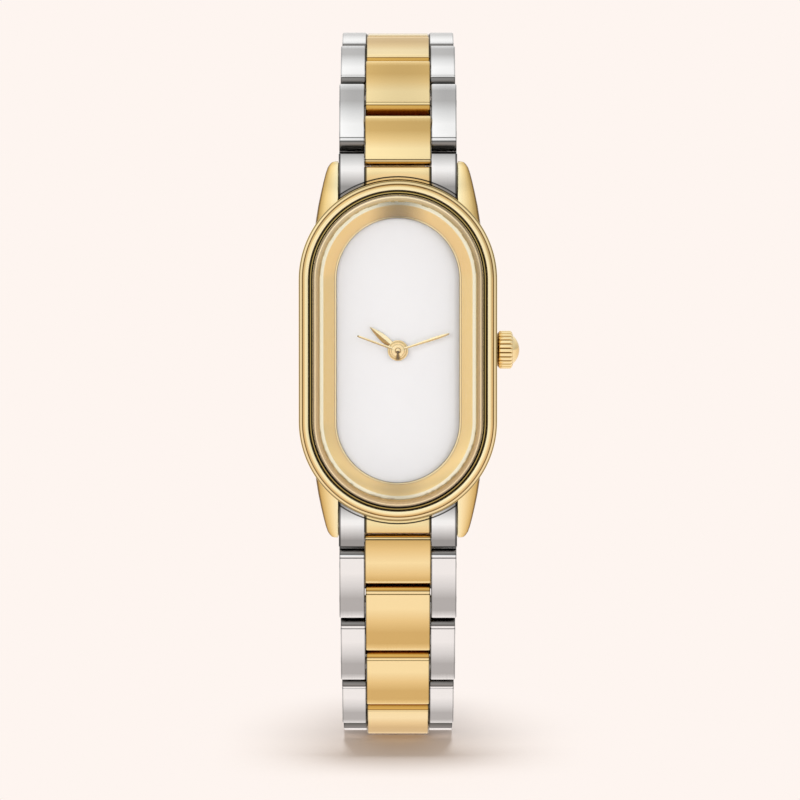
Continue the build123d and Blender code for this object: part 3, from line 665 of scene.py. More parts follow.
# %% Crystal
BEVEL_LOW, BEVEL_HIGH = 2.05, 3.09
crystal_section = [(8.60, 2.0), (8.60, 2.60), (8.56, 2.66), (7.96, 3.08), (7.9, 3.1)]
crystal = oval_piece("crystal_ground", crystal_section, glass_clear, closed=False, angle=12)
crystal.data.materials.append(glass_bevel)
for face in crystal.data.polygons:
    height = -(to_head @ face.center).y / MM
    face.material_index = 1 if BEVEL_LOW < height < BEVEL_HIGH else 0
carry(crystal, "crystal")

# %% Dial ring
ring_section = [(6.19, 0.95), (7.90, 0.95), (7.90, 1.50), (7.57, 1.50), (7.53, 1.47)]
ring_section += [(6.44, 1.27)] + arc((6.34, 1.17), 0.14, 70, 175, 6)
carry(oval_piece("dial_ring_sloped", ring_section, ring_mirror), "dial_ring")

# %% [markdown]
# ## Case band and lugs
# The band is one more section round the oval. A lug is lofted: a rounded section whose width
# and height change from the root, hidden in the band, to the rounded tip. The real lugs are
# cast with the case and polished, so the seam between them stays soft.

# %% Lofted skin
def skin(work, loops):
    """Faces over a run of rings of points, capped at both ends; gives those between rings."""
    faces = []
    for here, there in zip(loops, loops[1:]):
        for i in range(len(here)):
            k = (i + 1) % len(here)
            faces.append(work.faces.new((here[i], here[k], there[k], there[i])))
    work.faces.new(loops[0][::-1])
    work.faces.new(loops[-1])
    return faces


def lofted(work, rings, shades=None):
    """Skin over rings of places; shades are given for one ring or for each."""
    layer = work.verts.layers.float.get("shade") or work.verts.layers.float.new("shade")
    loops = [[work.verts.new(point) for point in ring] for ring in rings]
    if shades:
        for k, loop in enumerate(loops):
            for vert, shade in zip(loop, shades[k] if isinstance(shades[0], list) else shades):
                vert[layer] = shade
    skin(work, loops)


print("skin and loft ready for lugs, hands and links")

# %% Case body
LUG_INNER, LUG_EDGE, LUG_STEPS, LUG_TIP = 6.06, 0.07, 16, 18.9
LUG_STATIONS = [(11.2, 2.5, 1.0, -1.95), (12.2, 2.38, 1.0, -2.05), (13.4, 2.21, 0.97, -2.25),
                (14.6, 2.02, 0.9, -2.40), (15.9, 1.75, 0.78, -2.42), (17.0, 1.50, 0.50, -2.38),
                (17.9, 1.27, 0.16, -2.32), (18.5, 1.06, -0.1, -2.24), (18.85, 0.82, -0.28, -2.14),
                (19.03, 0.56, -0.44, -2.02), (19.1, 0.26, -0.66, -1.85)]
# Painted light and shade across a lug: deep painted shade on the inner wall, bright at the inner
# edge, darkening towards the outer side.
LUG_SHADES = [1.0, 1.0, 0.3, 0.0] + [i / LUG_STEPS for i in range(LUG_STEPS + 1)]
LUG_SHADES += [0.55, 0.55, 0.6, 0.6]


def lug_rings(side, up):
    """Sections of one lug: a crisp inner edge and a face that falls away to the outer side."""
    rings = []
    for z, width, high, low in LUG_STATIONS:
        inner = LUG_INNER + 0.5 * max(0.0, z - LUG_TIP)
        ring = [(inner - 0.05, low + 0.2), (inner - 0.05, high - 0.9), (inner, high - LUG_EDGE),
                (inner + 0.3 * LUG_EDGE, high - 0.3 * LUG_EDGE)]
        for i in range(LUG_STEPS + 1):
            u = i / LUG_STEPS
            drop = 0.45 * width * (1 - math.sqrt(1 - 0.97 * u ** 3))
            ring.append((inner + LUG_EDGE + (width - LUG_EDGE) * u, high - drop))
        ring += [(inner + width, (high + low) / 2), (inner + width - 0.1, low + 0.12),
                 (inner + width - 0.35, low), (inner + 0.25, low)]
        rings.append([(side * MM * x, -MM * h, up * MM * z) for x, h in ring])
    return rings


band_section = [(8.4, -2.1), (9.42, -2.1)] + arc((9.36, -1.85), 0.25, -60, 0, 4)
band_section += [(9.70, -1.1), (9.74, -0.45), (9.72, 0.3), (9.65, 1.1), (9.6, 1.2), (8.4, 1.2)]
band = oval_piece("case_band", band_section, gold_mirror)
work = bmesh.new()
for side in (-1, 1):
    for up in (-1, 1):
        lofted(work, lug_rings(side, up), LUG_SHADES)
lugs = finished(work, "case_lugs", lug_gold, angle=40)
carry(band, "case_body")
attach(lugs, "watch_head")
print(lugs.name, "faces:", len(lugs.data.polygons))

# %% [markdown]
# ## Hands
# Each hand is a thin blade with a ridge down its middle and a domed hub. A flat cut-out would
# be quicker, but only a ridge splits the light into two facets, and painted shade on one facet
# makes the split plainer. The hour hand is a wide leaf, the minute hand a narrow one, and the
# seconds hand a fine needle. The hub of the seconds hand is a dome with a small ball on it.
# The hubs carry painted rings of light and shade and a painted dark reflection below.

# %% Blades
BLADE_THICKNESS, BLADE_EDGE, RIDGE_HALF = 0.13, 0.35, 0.004
LEAF_START, LEAF_STEPS = 0.3, 24


def blade(work, shape, low, turn, shades):
    """Blade with a ridge: shape gives (distance from the axis, half width) along it."""
    rings = []
    left, right = shades
    c, s = math.cos(math.radians(turn)), math.sin(math.radians(turn))
    edge, high = low + BLADE_THICKNESS * BLADE_EDGE, low + BLADE_THICKNESS
    for length, half in shape:
        ridge = min(RIDGE_HALF, half / 4)
        ring = [(-half, low), (half, low), (half, edge), (ridge, high), (-ridge, high),
                (-half, edge)]
        rings.append([(MM * (x * c + length * s), -MM * h, MM * (length * c - x * s))
                      for x, h in ring])
    lofted(work, rings, [left, right, right, right, left, left])


def leaf(length, half, start, tip):
    """Half widths along a leaf: narrow at the hub, widest past the middle, then the tip."""
    shape = []
    for i in range(LEAF_STEPS + 1):
        t = i / LEAF_STEPS
        bulge = math.sin(math.pi * min(1.0, t ** 0.85)) ** 0.9
        shape.append((LEAF_START + (length - LEAF_START) * t,
                      start * (1 - t) + tip * t + (half - start / 2) * bulge))
    return shape


hour_leaf = leaf(3.75, 0.37, 0.10, 0.005)
minute_leaf = [(0.3, 0.09), (2.0, 0.12), (3.9, 0.165), (4.6, 0.155), (5.3, 0.11), (5.44, 0.08),
               (5.5, 0.02)]
needle = [(0.5, 0.12), (4.25, 0.105), (4.37, 0.07), (4.4, 0.01)]
print("widest half of the hour hand:", round(max(half for _, half in hour_leaf), 3), "mm")

# %% Hubs
HUB_STEPS, BALL_RADIUS, SPOT_DEPTH = 64, 0.26, 0.95
# Tones of painted light and shade on the hubs, with a painted dark ring line inside the rim.
DOME_TONES = (0.15, 0.02, 0.45, 0.4, 0.2, 0.12, 0.1, 0.05, 0.05, 0.02)
BALL_PROFILE = [(0.68, 1.60), (0.68, 1.66), (0.66, 1.68), (0.62, 1.70), (0.52, 1.73),
                (0.40, 1.75), (0.31, 1.755), (0.28, 1.745), (0.265, 1.79), (0.22, 1.85),
                (0.15, 1.885), (0.07, 1.90), (0.001, 1.902)]
BALL_TONES = [0.9, 0.8, 0.45, 0.2, 0.12, 0.12, 0.3, 0.75, 0.4, 0.12, 0.1, 0.12, 0.3]


def dome(outer, low, edge, high):
    """Profile and tones of a hub: a rim, a fine turned line inside it and a low dome."""
    profile, tones = [(outer, low), (outer, low + edge)], [0.6, 0.5]
    for i, tone in enumerate(DOME_TONES, 1):
        turn = math.pi / 2 * i / len(DOME_TONES)
        profile.append((outer * math.cos(turn) + 0.001,
                        low + edge + (high - edge) * math.sin(turn)))
        tones.append(tone)
    return profile, tones


def turned(work, profile, tones):
    """Solid of revolution about the axis of the hands; each hub gets a painted dark reflection at
    its bottom, the ball a painted dark lower half.
    """
    rings, shades = [], []
    turns = [2 * math.pi * i / HUB_STEPS for i in range(HUB_STEPS)]
    for (r, h), tone in zip(profile, tones):
        rings.append([(MM * r * math.cos(turn), -MM * h, MM * r * math.sin(turn))
                      for turn in turns])
        start, gain = (0.9, 10) if r > BALL_RADIUS else (0.0, 2)
        depth = SPOT_DEPTH if 0.1 <= tone < 0.5 else 0.0
        spot = [min(1.0, max(0.0, -math.sin(turn) - start) * gain) for turn in turns]
        shades.append([max(tone, dark * depth) for dark in spot])
    lofted(work, rings, shades)


hour_hub, minute_hub = dome(1.05, 1.13, 0.06, 0.22), dome(0.64, 1.36, 0.05, 0.2)
print("points of a hub's profile:", len(hour_hub[0]), "with a ball:", len(BALL_PROFILE))

# %% Hands
WELD = 0.0005
ARBOR_TOP, ARBOR_RADIUS = 1.3, 0.13
HANDS = {
    # The facets entry is the painted shade of the left and the right facet of each blade.
    "hours": ("hour_hand", hour_leaf, 1.13, 310, (0.55, 0.0), hour_hub),
    "minutes": ("minute_hand", minute_leaf, 1.39, 71.7, (0.0, 0.4), minute_hub),
    "seconds": ("second_hand", needle, 1.63, 290, (0.5, 0.0), (BALL_PROFILE, BALL_TONES)),
}


def above_arbor(face):
    x, y, z = face.calc_center_median()
    return -y > ARBOR_TOP * MM and math.hypot(x, z) > ARBOR_RADIUS * MM


def add_arbor(work):
    """The arbor and wheel of the seconds hand, taken over from its CAD node."""
    source = bmesh.new()
    source.from_mesh(nodes["second_hand"].data)
    source.transform(to_head)
    bmesh.ops.remove_doubles(source, verts=source.verts, dist=WELD * MM)
    hidden = [face for face in source.faces if above_arbor(face)]
    bmesh.ops.delete(source, geom=hidden, context="FACES")
    mesh = bpy.data.meshes.new("arbor")
    source.to_mesh(mesh)
    source.free()
    work.from_mesh(mesh)


for body, (node_name, shape, low, turn, facets, hub) in HANDS.items():
    work = bmesh.new()
    blade(work, shape, low, turn, facets)
    turned(work, *hub)
    if body == "seconds":
        add_arbor(work)
    carry(finished(work, node_name + "_polished", hand_gold, angle=28), node_name, body=body)

# %% [markdown]
# ## Geometry Nodes
# The bracelet repeats one link shape, and the crown repeats one ridge. A tree of Geometry
# Nodes does the repeating, and its named inputs are the sizes that change from row to row.
# `result_of` sets those inputs, runs the tree on a mesh and gives back a plain mesh.

# %% Trees
class Tree(Network):
    """A Geometry Nodes tree with named inputs."""

    def __init__(self, name, **inputs):
        self.tree = bpy.data.node_groups.new(name, "GeometryNodeTree")
        kinds = {"Geometry": "NodeSocketGeometry", **inputs, "Finish": "NodeSocketMaterial"}
        for label, kind in kinds.items():
            self.tree.interface.new_socket(label, in_out="INPUT", socket_type=kind)
        self.tree.interface.new_socket("Geometry", in_out="OUTPUT",
                                       socket_type="NodeSocketGeometry")
        self.inputs = self.add("NodeGroupInput").outputs

    def sizes(self, *labels):
        return [Value(self, self.inputs[label]) for label in labels]

    def along(self, axis, value):
        """A place or a turn along one axis."""
        return self.out("ShaderNodeCombineXYZ", {axis: value})

    def end(self, geometry):
        whole = self.out("GeometryNodeRealizeInstances", {0: geometry})
        values = {"Geometry": whole, "Material": self.inputs["Finish"]}
        self.add("NodeGroupOutput", {0: self.out("GeometryNodeSetMaterial", values)})
        print(self.tree.name, "nodes:", len(self.tree.nodes))


def result_of(tree, mesh, values):
    """Plain mesh that a tree makes from another mesh."""
    carrier = bpy.data.objects.new("carrier", mesh)
    bpy.context.scene.collection.objects.link(carrier)
    run = carrier.modifiers.new("run", "NODES")
    run.node_group = tree.tree
    for item in run.node_group.interface.items_tree:
        if item.in_out == "INPUT" and item.name in values:
            run[item.identifier] = values[item.name]
    bpy.context.view_layer.update()
    ready = carrier.evaluated_get(bpy.context.evaluated_depsgraph_get())
    result = bpy.data.meshes.new_from_object(ready)
    carrier.modifiers.remove(run)
    bpy.data.objects.remove(carrier)
    result.materials.clear()
    return result


print("trees:", Tree.__doc__)

# %% [markdown]
# ## One link
# Seen from the side, a link has a crowned outer face, a rounded far end, and on the side
# towards the case a lip set lower behind a fine groove. Its inner corners turn about the pins.
# `link_block` draws that outline one millimetre to each side, with eased edges, and stores how
# far along the link each point lies and whether it is on a side wall, because the satin finish
# paints its light and shade by these two numbers.

# %% Link outline
PITCH, FIRST_PITCH = 3.6, 2.6
LINK_END, HALF_LINK, NOSE = 1.74, 1.2, 0.63
NOSE_LOW, NOSE_RISE, NOSE_SHARE, NOSE_STEPS = 0.62, 0.49, 0.045, 6
FACE_HIGH, FACE_CROWN, FACE_START, FACE_STOP, FACE_STEPS = 1.235, 0.08, 0.09, 0.95, 12
EDGE_LOW, EDGE_RISE, EDGE_LENGTH, EDGE_STEPS = 0.95, 0.20, 0.22, 5
CORNER_STEPS = 8


def link_profile(pitch, nose):
    """Points (out of the wrist negative, along the link) and the share along the link."""
    round_length, strip = (0.42, 0.27) if nose == LINK_END else (0.25, 0.13)
    far = pitch + LINK_END
    edge = round_length - nose
    points = []
    for i in range(NOSE_STEPS + 1):
        turn = math.pi / 2 * i / NOSE_STEPS
        points.append((-NOSE_LOW - NOSE_RISE * math.sin(turn),
                       edge - round_length * math.cos(turn), NOSE_SHARE * i / NOSE_STEPS))
    edge += strip
    points += [(-1.13, edge - strip + 0.03, 0.05), (-1.145, edge - 0.04, 0.072),
               (-1.085, edge - 0.01, 0.077), (-1.085, edge + 0.05, 0.083),
               (-1.145, edge + 0.08, 0.09)]
    start, stop = edge + 0.12, far - EDGE_LENGTH
    for i in range(FACE_STEPS + 1):
        t = i / FACE_STEPS
        points.append((-FACE_HIGH + FACE_CROWN * (2 * t - 1) ** 2, start + (stop - start) * t,
                       FACE_START + (FACE_STOP - FACE_START) * t))
    for i in range(1, EDGE_STEPS + 1):
        turn = math.pi / 2 * i / EDGE_STEPS
        points.append((-EDGE_LOW - EDGE_RISE * math.cos(turn),
                       stop + EDGE_LENGTH * math.sin(turn), FACE_STOP + 0.006 * i))
    last = math.atan2(HALF_LINK, math.sqrt(LINK_END ** 2 - HALF_LINK ** 2))
    turns = [last * i / CORNER_STEPS for i in range(CORNER_STEPS + 1)]
    points += [(LINK_END * math.sin(turn), pitch + LINK_END * math.cos(turn), 1.0)
               for turn in turns]
    if nose < LINK_END:
        points.append((HALF_LINK, nose / 2, 0.0))
    return points + [(nose * math.sin(turn), -nose * math.cos(turn), 0.0)
                     for turn in reversed(turns)]


print("points of a link's outline:", len(link_profile(PITCH, LINK_END)))

# %% Link shape
EASE = 0.15
EASED_STATIONS = [(-1, EASE, 1.0), (-1 + EASE * 0.3, EASE * 0.3, 0.6), (-1 + EASE, 0, 0.0),
                  (1 - EASE, 0, 0.0), (1 - EASE * 0.3, EASE * 0.3, 0.6), (1, EASE, 1.0)]


def inset(points, amount):
    """The same outline drawn in along its normals, by the amount at the face and by none inside."""
    result = []
    for i, (y, z, share) in enumerate(points):
        (y0, z0, _), (y1, z1, _) = points[i - 1], points[(i + 1) % len(points)]
        outside = min(1.0, max(0.0, (-y - 0.3) / 0.4))
        depth = amount * outside / math.hypot(y1 - y0, z1 - z0)
        result.append((y + depth * (z1 - z0), z - depth * (y1 - y0), share))
    return result


def link_block(name, pitch, nose):
    outline = link_profile(pitch, nose)
    work = bmesh.new()
    along = work.verts.layers.float.new("along")
    side = work.loops.layers.float.new("side")
    loops, walls = [], {}
    for x, amount, wall in EASED_STATIONS:
        loop = []
        for y, z, share in inset(outline, amount):
            vert = work.verts.new((x * MM, y * MM, z * MM))
            vert[along], walls[vert] = share, wall
            loop.append(vert)
        loops.append(loop)
    for face in skin(work, loops):
        for corner in face.loops:
            corner[side] = walls[corner.vert]
    return mesh_of(work, name)


full_link = link_block("link_shape", PITCH, LINK_END)
first_link = link_block("first_link_shape", FIRST_PITCH, NOSE)
print("points of a link:", len(full_link.vertices))

# %% [markdown]
# ## The bracelet
# The tree pulls the two sides of the link shape apart to the wanted width and repeats it
# across the bracelet: once for a middle link, twice for a pair of outer ones. Two pins join a
# pair of outer links. Each link becomes one mesh that moves with its own body.

# %% Link tree
PIN_RADIUS, PIN_SIDES = 0.35, 24
SIZE, WHOLE_NUMBER = "NodeSocketFloat", "NodeSocketInt"
link_tree = Tree("link_row", **{"Count": WHOLE_NUMBER, "Half Width": SIZE, "Spacing": SIZE,
                                "Pin": SIZE, "Pins": WHOLE_NUMBER, "Pitch": SIZE})
count, half_width, spacing, pin, pin_count, pitch = link_tree.sizes(
    "Count", "Half Width", "Spacing", "Pin", "Pins", "Pitch")
x, _, _ = link_tree.parts(link_tree.out("GeometryNodeInputPosition"))
pull = link_tree.along("X", x.math("SIGN") * (half_width - MM))
block = link_tree.out("GeometryNodeSetPosition",
                      {"Geometry": link_tree.inputs["Geometry"], "Offset": pull})
start = link_tree.along("X", (count - 1.0) * -0.5 * spacing)
places = link_tree.out("GeometryNodeMeshLine", {"Count": count, "Start Location": start,
                                                "Offset": link_tree.along("X", spacing)})
row = link_tree.out("GeometryNodeInstanceOnPoints", {"Points": places, "Instance": block})
rod = link_tree.out("GeometryNodeMeshCylinder", {"Vertices": PIN_SIDES, "Depth": pin,
                                                 "Radius": PIN_RADIUS * MM})
pins = link_tree.out("GeometryNodeMeshLine", {"Count": pin_count,
                                              "Offset": link_tree.along("Z", pitch)})
rods = link_tree.out("GeometryNodeInstanceOnPoints", {"Points": pins, "Instance": rod,
                                                      "Rotation": (0, math.pi / 2, 0)})
both = link_tree.add("GeometryNodeJoinGeometry")
for part in (row, rods):
    link_tree.feed(both.inputs[0], part)
link_tree.end(both.outputs[0])

# %% Links
BRACELET_WIDTH, WIDTH_LOSS, CENTRE_SHARE, ROW_GAP = 12.0, 0.12, 0.558, 0.03
PIN_PROUD, LAST_TURN, ROWS, LINK_ANGLE = 0.03, 169, 17, 32


def row_width(index):
    return BRACELET_WIDTH - WIDTH_LOSS * index


def link_place(here, there, side):
    """From a link drawn pointing up from its first pin to its place in the loop."""
    along = (there - here).normalized()
    turn = math.atan2(along.y, side * along.z)
    flip = Matrix.Identity(4) if side > 0 else Matrix.Rotation(math.pi, 4, "Y")
    return Matrix.Translation(here) @ Matrix.Rotation(-side * turn, 4, "X") @ flip


def draw_link(name, index, place):
    outer = row_width(index) / 2
    if index % 2:
        inner = row_width(index - 1) * CENTRE_SHARE / 2 + ROW_GAP
        counts, finish = {"Count": 2, "Pins": 2}, steel_links
        sizes = {"Half Width": (outer - inner) / 2, "Spacing": outer + inner,
                 "Pin": 2 * outer + PIN_PROUD}
    else:
        inner = row_width(index) * CENTRE_SHARE / 2
        counts = {"Count": 1, "Pins": 0}
        finish = first_gold_link if name == "lower_centre_link_1" else gold_links
        sizes = {"Half Width": inner, "Spacing": 0.0, "Pin": inner}
    sizes["Pitch"] = PITCH if index else FIRST_PITCH
    values = {label: size * MM for label, size in sizes.items()}
    mesh = result_of(link_tree, full_link if index else first_link,
                     {**counts, **values, "Finish": finish})
    mesh.name = name + "_drawn"
    mesh.transform(place)
    carry(new_piece(name + "_drawn", mesh, finish, LINK_ANGLE), name, body=name)


for run, side in {"upper": 1, "lower": -1}.items():
    names = [f"{run}_{'outer_links' if i % 2 else 'centre_link'}_{i // 2 + 1}" for i in range(ROWS)]
    names = [name for name in names if name in nodes]
    pins = [Vector(joints[name + "_hinge"]["pos_m"]) for name in names]
    if side > 0:
        pins.append(Vector(joints["clasp_end_hinge"]["pos_m"]))
    else:
        turn = math.radians(LAST_TURN)
        pins.append(pins[-1] + PITCH * MM * Vector((0, math.sin(turn), -math.cos(turn))))
    for i, name in enumerate(names):
        draw_link(name, i, link_place(pins[i], pins[i + 1], side))

# %% [markdown]
# ## End links
# These fixed pieces fill the space between the case and the first moving links. Their near end
# follows the curve of the oval and carries a fine raised rim, their far end is rounded about the
# bracelet's first pin. Each block is lofted across the bracelet, so every section finds its own
# distance to the curve.

# %% End link sections
CURVE_RADIUS = 9.81
END_HIGH, END_LOW, FLOOR_HIGH, CENTRE_LOW = 0.93, -1.5, -0.3, -0.27
ARM_FAR, CENTRE_FAR, PIN_REACH = 19.98, 18.60, 19.3
END_BULGE, END_ROUND, END_STATIONS = 0.14, 0.28, 8


def end_section(near, far, high, low, rim):
    """Side outline of an end link block: (along the watch, height)."""
    points = [(near, low), (near, high - 0.2)]
    if rim:
        points += [(near + 0.28, high - 0.10), (near + 0.34, high - 0.04),
                   (near + 0.52, high - 0.03), (near + 0.55, high - 0.12),
                   (near + 0.61, high - 0.12), (near + 0.65, high - 0.03)]
    for i in range(5):
        points.append((near + 0.7 + (far - 1.0 - near) * i / 4, high - 0.03 * (i / 2 - 1) ** 2))
    for i in range(1, 6):
        turn = math.pi / 2 * i / 5
        points.append((far - END_ROUND + END_ROUND * math.sin(turn),
                       high - 0.31 + END_ROUND * math.cos(turn)))
    bulge = END_BULGE if rim and far == ARM_FAR else 0
    for i in range(7):
        h = 0.5 - 1.6 * i / 6
        points.append((far + bulge * math.cos(math.pi * (i / 6 - 0.5)), h) if bulge
                      else (far, min(h, high - 0.35)))
    return points + [(far, low + 0.3), (far - 0.3, low)]


def end_rings(x_low, x_high, far, high, low, up, rim=True):
    """Sections across a block from one side to the other, drawn in at its two eased edges."""
    rings = []
    step = (x_high - x_low - 2 * EASE) / END_STATIONS
    stations = [(x_low, EASE), (x_low + 0.3 * EASE, 0.3 * EASE)]
    stations += [(x_low + EASE + step * i, 0) for i in range(END_STATIONS + 1)]
    stations += [(x_high - 0.3 * EASE, 0.3 * EASE), (x_high, EASE)]
    for x, ease in stations:
        near = OVAL_STRAIGHT / 2 + math.sqrt(CURVE_RADIUS ** 2 - x ** 2) + ease * 0.5
        ring = end_section(near, far, high - ease, low, rim)
        rings.append([(MM * x, -MM * h, up * MM * z) for z, h in ring])
    return rings


centre_half, arm_half = BRACELET_WIDTH * CENTRE_SHARE / 2, BRACELET_WIDTH / 2
arm_inner = centre_half + ROW_GAP
print("end links: arms from", round(arm_inner, 3), "to", arm_half, "mm")

# %% End link finish
# A painted highlight band on the top: its place, its shift on the upper side, and its reach.
BAND_PLACE, BAND_SHIFT, BAND_REACH = 10.3, 0.9, 1.9
# Painted bright and dark lines along the raised rim by the oval.
RIM_START, RIM_WIDTH = 10.0, 0.6
RIM_BLACK, RIM_BRIGHT = (0.06, 0.06, 0.06), (1.0, 0.99, 0.97)
RIM_STOPS = [(0.0, RIM_BLACK), (0.2, RIM_BLACK), (0.28, RIM_BRIGHT), (0.52, RIM_BRIGHT),
             (0.60, RIM_BLACK), (0.72, RIM_BLACK), (0.80, (1, 1, 1))]
# Painted shade on the side edges of the top.
TOP_MARGIN, SIDE_MARGIN, SIDE_SHADE_END = 0.25, 0.24, 0.85


def end_shade(name, light, dark, half):
    """Satin of the end links: a painted soft bright band, painted light and dark lines along the
    raised rim by the oval, and painted shade on the side edges.
    """
    finish = Finish(name, light, LINK_ROUGHNESS, 1.0)
    across, beyond, height = oval_distance(finish)
    upper, lines = upper_side(finish) * 0.5 + 0.5, finish.lines()
    # Painted highlight band, set further out on the upper side.
    band = (beyond - upper * BAND_SHIFT - BAND_PLACE) / BAND_REACH
    shade = band.math("ABSOLUTE") + (lines - 0.5) * 0.1
    rim = finish.ramp((length_of(across, beyond) - RIM_START) / RIM_WIDTH, RIM_STOPS)
    top = step_up(height, END_HIGH - TOP_MARGIN, 0.05)
    # Painted shade on the side edges of the top face.
    edge = step_up(across.math("ABSOLUTE"), half - SIDE_MARGIN, 0.1) * top
    face = finish.blended(top, light, finish.ramp(shade, [(0.1, light), (0.95, dark)]))
    color = finish.out("ShaderNodeVectorMath", {0: face, 1: rim}, operation="MULTIPLY")
    finish.set("Base Color", finish.scaled(color, 1 - edge * SIDE_SHADE_END))
    finish.vary("Roughness", lines, LINK_ROUGHNESS, 0.1)
    finish.bump(lines, 0.001)
    return finish.material


end_steel = end_shade("end_link_steel", (0.97, 0.975, 0.98), (0.34, 0.34, 0.34), arm_half)
end_gold = end_shade("end_link_gold", GOLD_PAINTED_LIGHT[2], GOLD_PAINTED_LIGHT[4], centre_half)
print("end link finishes:", end_steel.name, end_gold.name)

# %% End links
arms, centres = bmesh.new(), bmesh.new()
for up in (-1, 1):
    lofted(arms, end_rings(arm_inner, arm_half, ARM_FAR, END_HIGH, END_LOW, up))
    lofted(arms, end_rings(-arm_half, -arm_inner, ARM_FAR, END_HIGH, END_LOW, up))
    lofted(arms, end_rings(-arm_inner, arm_inner, CENTRE_FAR, FLOOR_HIGH, END_LOW, up, rim=False))
    lofted(centres, end_rings(-centre_half, centre_half, CENTRE_FAR, END_HIGH, CENTRE_LOW, up))
    turns = [2 * math.pi * i / PIN_SIDES for i in range(PIN_SIDES)]
    lofted(arms, [[(MM * x, MM * (0.3 - PIN_RADIUS * math.cos(turn)),
                    MM * (up * PIN_REACH + PIN_RADIUS * math.sin(turn))) for turn in turns]
                  for x in (-arm_half + 0.12, arm_half - 0.12)])
carry(finished(arms, "end_links_drawn", end_steel), "end_links")
carry(finished(centres, "end_link_centres_drawn", end_gold), "end_link_centres")

# %% [markdown]
# ## Crown
# The real crown is a knurled cap with a domed end. Ridges cut out of a finished cap would
# leave hard ends. Instead one slice holds one ridge, which runs out into the smooth shoulders
# and the dome, and the tree turns copies of the slice about the crown's axis and welds them.

# %% Crown slice
RIDGES, RIDGE_DEPTH = 26, 0.17
CROWN_START, CROWN_HEIGHT, CROWN_LENGTH = 10.15, -0.62, 1.5
CAP_RADIUS, CAP_RISE, CAP_STEPS = 1.47, 0.68, 12
SLICE_STEPS = 12
slice_profile = [(0.95, 0.001, 0), (0.95, 1.05, 0), (-0.15, 1.05, 0), (-0.15, 1.56, 0),
                 (0.06, 1.78, 0.04), (0.14, 1.89, 0.12), (0.24, 1.93, RIDGE_DEPTH),
                 (1.2, 1.93, RIDGE_DEPTH), (1.32, 1.89, 0.13), (1.43, 1.76, 0.06),
                 (CROWN_LENGTH, 1.60, 0), (CROWN_LENGTH, CAP_RADIUS + 0.03, 0)]
cap_start = len(slice_profile)
ball = (CAP_RADIUS ** 2 + CAP_RISE ** 2) / (2 * CAP_RISE)
for i in range(CAP_STEPS + 1):
    turn = math.asin(CAP_RADIUS / ball) * (1 - i / CAP_STEPS)
    slice_profile.append((CROWN_LENGTH + CAP_RISE - ball * (1 - math.cos(turn)),
                          max(0.001, ball * math.sin(turn)), 0))
work = bmesh.new()
shade = work.verts.layers.float.new("shade")
columns = []
for i in range(SLICE_STEPS + 1):
    share = i / SLICE_STEPS - 0.5
    turn = 2 * math.pi * share / RIDGES
    hollow = abs(2 * share) ** 4
    column = []
    for k, (x, r, deep) in enumerate(slice_profile):
        reach = MM * (r - deep * hollow)
        vert = work.verts.new((MM * x, reach * math.cos(turn), reach * math.sin(turn)))
        # Painted shade: dark in the grooves between ridges and at the case side, a dark step at the
        # cap, and darkening over the domed cap.
        step_tone = 0.55 if cap_start - 2 <= k < cap_start else 0.0
        tone = 0.5 * (k - cap_start) / CAP_STEPS if k > cap_start else step_tone
        vert[shade] = max(hollow * deep / RIDGE_DEPTH, 1.0 if x < 0.1 else tone)
        column.append(vert)
    columns.append(column)
for here, there in zip(columns, columns[1:]):
    for i in range(len(slice_profile) - 1):
        work.faces.new((here[i], there[i], there[i + 1], here[i + 1]))
slice_mesh = bpy.data.meshes.new("crown_slice")
work.to_mesh(slice_mesh)
work.free()
print("faces of one ridge:", len(slice_mesh.polygons))

# %% Crown tree
crown_tree = Tree("crown_ridges", Ridges=WHOLE_NUMBER)
ridges, = crown_tree.sizes("Ridges")
index = Value(crown_tree, crown_tree.out("GeometryNodeInputIndex"))
spin = crown_tree.along("X", index * (2 * math.pi / ridges))
places = crown_tree.out("GeometryNodeMeshLine", {"Count": ridges, "Offset": (0, 0, 0)})
whole = crown_tree.out("GeometryNodeInstanceOnPoints",
                       {"Points": places, "Instance": crown_tree.inputs["Geometry"],
                        "Rotation": spin})
whole = crown_tree.out("GeometryNodeRealizeInstances", {0: whole})
crown_tree.end(crown_tree.out("GeometryNodeMergeByDistance",
                              {"Geometry": whole, "Distance": 0.002 * MM}))
work = bmesh.new()
work.from_mesh(result_of(crown_tree, slice_mesh, {"Ridges": RIDGES, "Finish": crown_gold}))
bmesh.ops.translate(work, verts=work.verts, vec=(MM * CROWN_START, -MM * CROWN_HEIGHT, 0))
carry(finished(work, "crown_ridged", crown_gold, angle=45), "crown", body="crown_and_stem")

# %% [markdown]
# ## Clasp and back
# The blades of the folding clasp and the case back are pressed and milled plates. Their shape
# is right as it is, but a real plate has no knife edges: each edge is eased and polished, and
# draws a bright line round the brushed face. `eased` merges a copy of the node, joins its
# triangles to flat faces and bevels the sharp edges.

# %% Clasp and back
FLAT, SHARP = math.radians(1), math.radians(45)
BLADE_EASE, BACK_EASE = 0.1, 0.12


def eased(name, body, width, finish):
    work = bmesh.new()
    work.from_mesh(nodes[name].data)
    bmesh.ops.remove_doubles(work, verts=work.verts, dist=WELD * MM)
    bmesh.ops.dissolve_limit(work, angle_limit=FLAT, verts=work.verts, edges=work.edges)
    sharp = [edge for edge in work.edges
             if len(edge.link_faces) == 2 and edge.calc_face_angle() > SHARP]
    bmesh.ops.bevel(work, geom=sharp, offset=width * MM, segments=3, profile=0.5,
                    affect="EDGES", clamp_overlap=True, material=1)
    piece = finished(work, name + "_eased", finish, place=Matrix.Identity(4), angle=30)
    piece.data.materials.append(steel_mirror)
    carry(piece, name, body=body)


